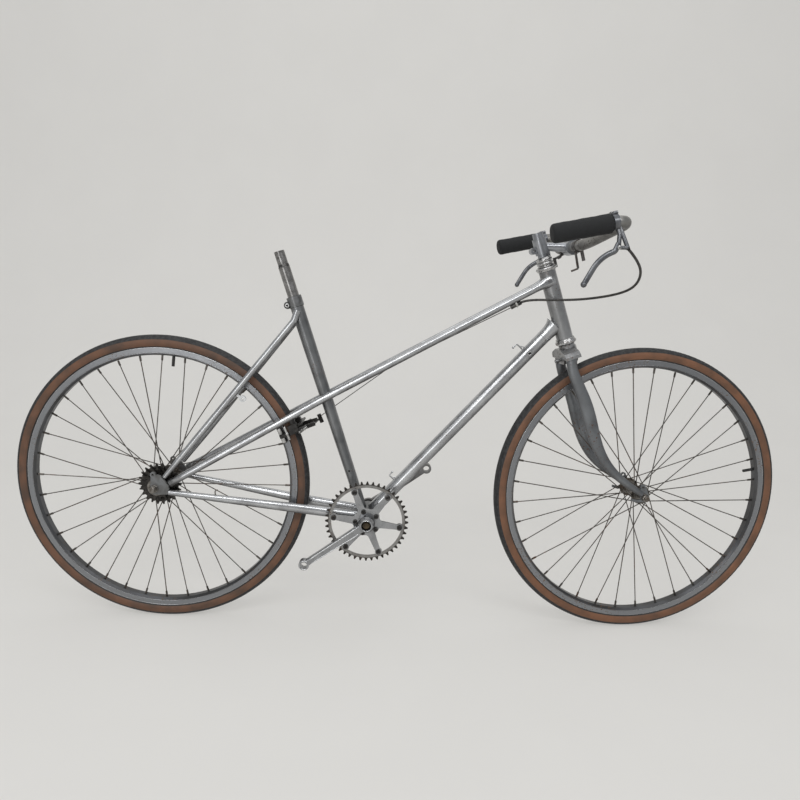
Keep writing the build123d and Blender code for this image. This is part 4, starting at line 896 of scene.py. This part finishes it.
# The dark disc in the boss is painted shade in its hole.
build_piece(
    "boss_hole", [turned_rings(boss + RIGHT * 0.01675, RIGHT, [(0, 2.9), (0.15, 2.9)], 24)], black_and_hole_shade, "frame")
build_piece("boss_rim", [ring_shape(boss, RIGHT, round_loop(0.0168, 0.0034, 0.0006), 32)], screw_steel, "frame")
peg_line = smooth_line(
    [REAR_AXLE + Vector(p) / 1000 for p in (
         (127, -51.3, -17), (126, -51.3, -9), (127, -51.3, -5), (132, -51.3, -3.5))])
build_piece("chain_peg", [tube_shape(peg_line, 0.0014, 12)], axle_steel, "frame")

# ---------------------------------------------------------------- Main tubes drawn smooth
# Each lateral tube is a single length with a slight bend beside the seat tube. The down tube is straight.
DOWN_HEAD = REAR_AXLE + Vector((861.7, 0, 379.67)) / 1000
LATERAL_RADIUS, LATERAL_BEND, DOWN_RADIUS = 0.008, 0.0175, 0.0143


def lateral_points(side):
    """Head, bend and tail of one lateral tube's middle line."""
    return [REAR_AXLE + Vector(p) / 1000
            for p in ((833.06, side * 13, 462.88), (362.5, side * 22.6, 201.7), (33, side * 61.5, 12.2))]


for side, name in ((-1, "right"), (1, "left")):
    head, knee, tail = lateral_points(side)
    line = smooth_line([head, knee + (head - knee).normalized() * LATERAL_BEND, knee,
                        knee + (tail - knee).normalized() * LATERAL_BEND, tail])
    lateral = build_piece(f"lateral_tube_{name}_drawn", [tube_shape(line, LATERAL_RADIUS, 48)], enamel, "frame")
    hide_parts(f"lateral_tube_{name}")
down_line = [BRACKET + (DOWN_HEAD - BRACKET) * t for t in np.linspace(0.03, 0.978, 24)]
down_tube = build_piece("down_tube_drawn", [tube_shape(down_line, DOWN_RADIUS, 64)], enamel, "frame")
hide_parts("down_tube")

# ---------------------------------------------------------------- Braze fillets
# Where a tube meets the head tube the brass was run out and filed, so that each tube flares into it.
reach = np.linspace(16, 52, 26)
fillet_shapes = [
    oval_shape(
        [DOWN_HEAD - DOWN_WAY * r / 1000 for r in reach], LEFT, 0.01436 + 0.0010 * np.exp(-(reach - 16) / 7),
        0.01436 + 0.0085 * np.exp(-(reach - 16) / 8), 48)]
for side in (-1, 1):
    end, rear, _ = lateral_points(side)
    way = (end - rear).normalized()
    reach = np.linspace(-9, 44, 36)
    swell = 1 / (1 + np.exp((reach - 16) / 4.5))
    tip = np.sqrt(np.clip(1 - ((3 - np.minimum(reach, 3)) / 12.6) ** 2, 0.02, 1))
    fillet_shapes.append(
        oval_shape(
            [end - way * r / 1000 + LEFT * side * (0.0006 * w) for r, w in zip(reach, swell)], LEFT,
            (0.00806 - 0.0012 * swell) * tip, (0.00806 + 0.0050 * swell) * tip, 36))
build_piece("braze_fillets", fillet_shapes, enamel, "frame")

# ================================================================ Floor and light
# A pale seamless sheet that runs back and curves up into a wall, under a long narrow lamp and a soft one.
FLOOR_COLOUR = (0.70, 0.695, 0.675)
FLOOR_GLOW, GLOW_SHARE = (0.78, 0.765, 0.735), 0.50
floor_height = solids_low[2]


def sweep_sheet(width, front, back, height, bend):
    """Sheet whose section is a straight floor, a quarter circle and a straight wall."""
    arc = np.linspace(0, pi / 2, 24)
    run = np.concatenate([[front], back - bend + bend * np.sin(arc), [back]])
    rise = np.concatenate([[0], bend - bend * np.cos(arc), [height]])
    points = np.array([(x, y, floor_height + z) for y, z in zip(run, rise) for x in (-width, width)])
    row = np.arange(len(run) - 1) * 2
    faces = np.stack([row, row + 1, row + 3, row + 2], axis=-1)
    return points, faces.tolist()


floor_points, floor_faces = sweep_sheet(11.0, -9.0, 2.6, 6.0, 1.6)
floor_mesh = bpy.data.meshes.new("floor")
floor_mesh.from_pydata(floor_points.tolist(), [], floor_faces)
floor_mesh.polygons.foreach_set("use_smooth", [True] * len(floor_faces))
floor_paper = plain_finish("floor_paper", FLOOR_COLOUR, tuple(c * 0.97 for c in FLOOR_COLOUR), 0.9, 3, 0.02)
paper_nodes, paper_links = floor_paper.node_tree.nodes, floor_paper.node_tree.links
ray = paper_nodes.new("ShaderNodeLightPath")
glow = paper_nodes.new("ShaderNodeEmission")
glow.inputs["Color"].default_value = (*FLOOR_GLOW, 1)
seen = ray.outputs["Is Camera Ray"]
for other in ("Is Glossy Ray", "Is Transmission Ray"):
    either = paper_nodes.new("ShaderNodeMath")
    either.operation = "MAXIMUM"
    paper_links.new(seen, either.inputs[0])
    paper_links.new(ray.outputs[other], either.inputs[1])
    seen = either.outputs[0]
share = paper_nodes.new("ShaderNodeMath")
share.operation = "MULTIPLY"
share.inputs[1].default_value = GLOW_SHARE
paper_links.new(seen, share.inputs[0])
pale = paper_nodes.new("ShaderNodeMixShader")
paper_links.new(share.outputs[0], pale.inputs["Fac"])
paper_links.new(paper_nodes["Principled BSDF"].outputs["BSDF"], pale.inputs[1])
paper_links.new(glow.outputs["Emission"], pale.inputs[2])
paper_links.new(pale.outputs["Shader"], paper_nodes["Material Output"].inputs["Surface"])
floor_mesh.materials.append(floor_paper)
floor = bpy.data.objects.new("floor", floor_mesh)
bpy.context.scene.collection.objects.link(floor)

for name, place, target, size, power in (
        ("lamp_long", (0.25, -2.1, 1.75), (0.25, 0.0, -0.35), (4.4, 0.6), 44),
        ("lamp_tall", (-1.1, -3.4, 0.5), (0.2, 0.0, -0.4), (0.9, 2.6), 22),
        ("lamp_above", (0.25, 0.2, 3.0), (0.25, 0.2, 0.0), (4.0, 3.0), 34)):
    lamp = bpy.data.lights.new(name, "AREA")
    lamp.shape = "RECTANGLE"
    lamp.size, lamp.size_y = size
    lamp.energy = power
    holder = bpy.data.objects.new(name, lamp)
    holder.location = place
    holder.rotation_euler = (Vector(target) - Vector(place)).to_track_quat("-Z", "Y").to_euler()
    holder.visible_camera = False
    bpy.context.scene.collection.objects.link(holder)

world = bpy.data.worlds.new("room")
world.use_nodes = True
sky = world.node_tree.nodes["Background"]
sky.inputs["Color"].default_value, sky.inputs["Strength"].default_value = (0.86, 0.87, 0.88, 1), 0.42
bpy.context.scene.world = world
bpy.context.scene.view_settings.view_transform = "Standard"
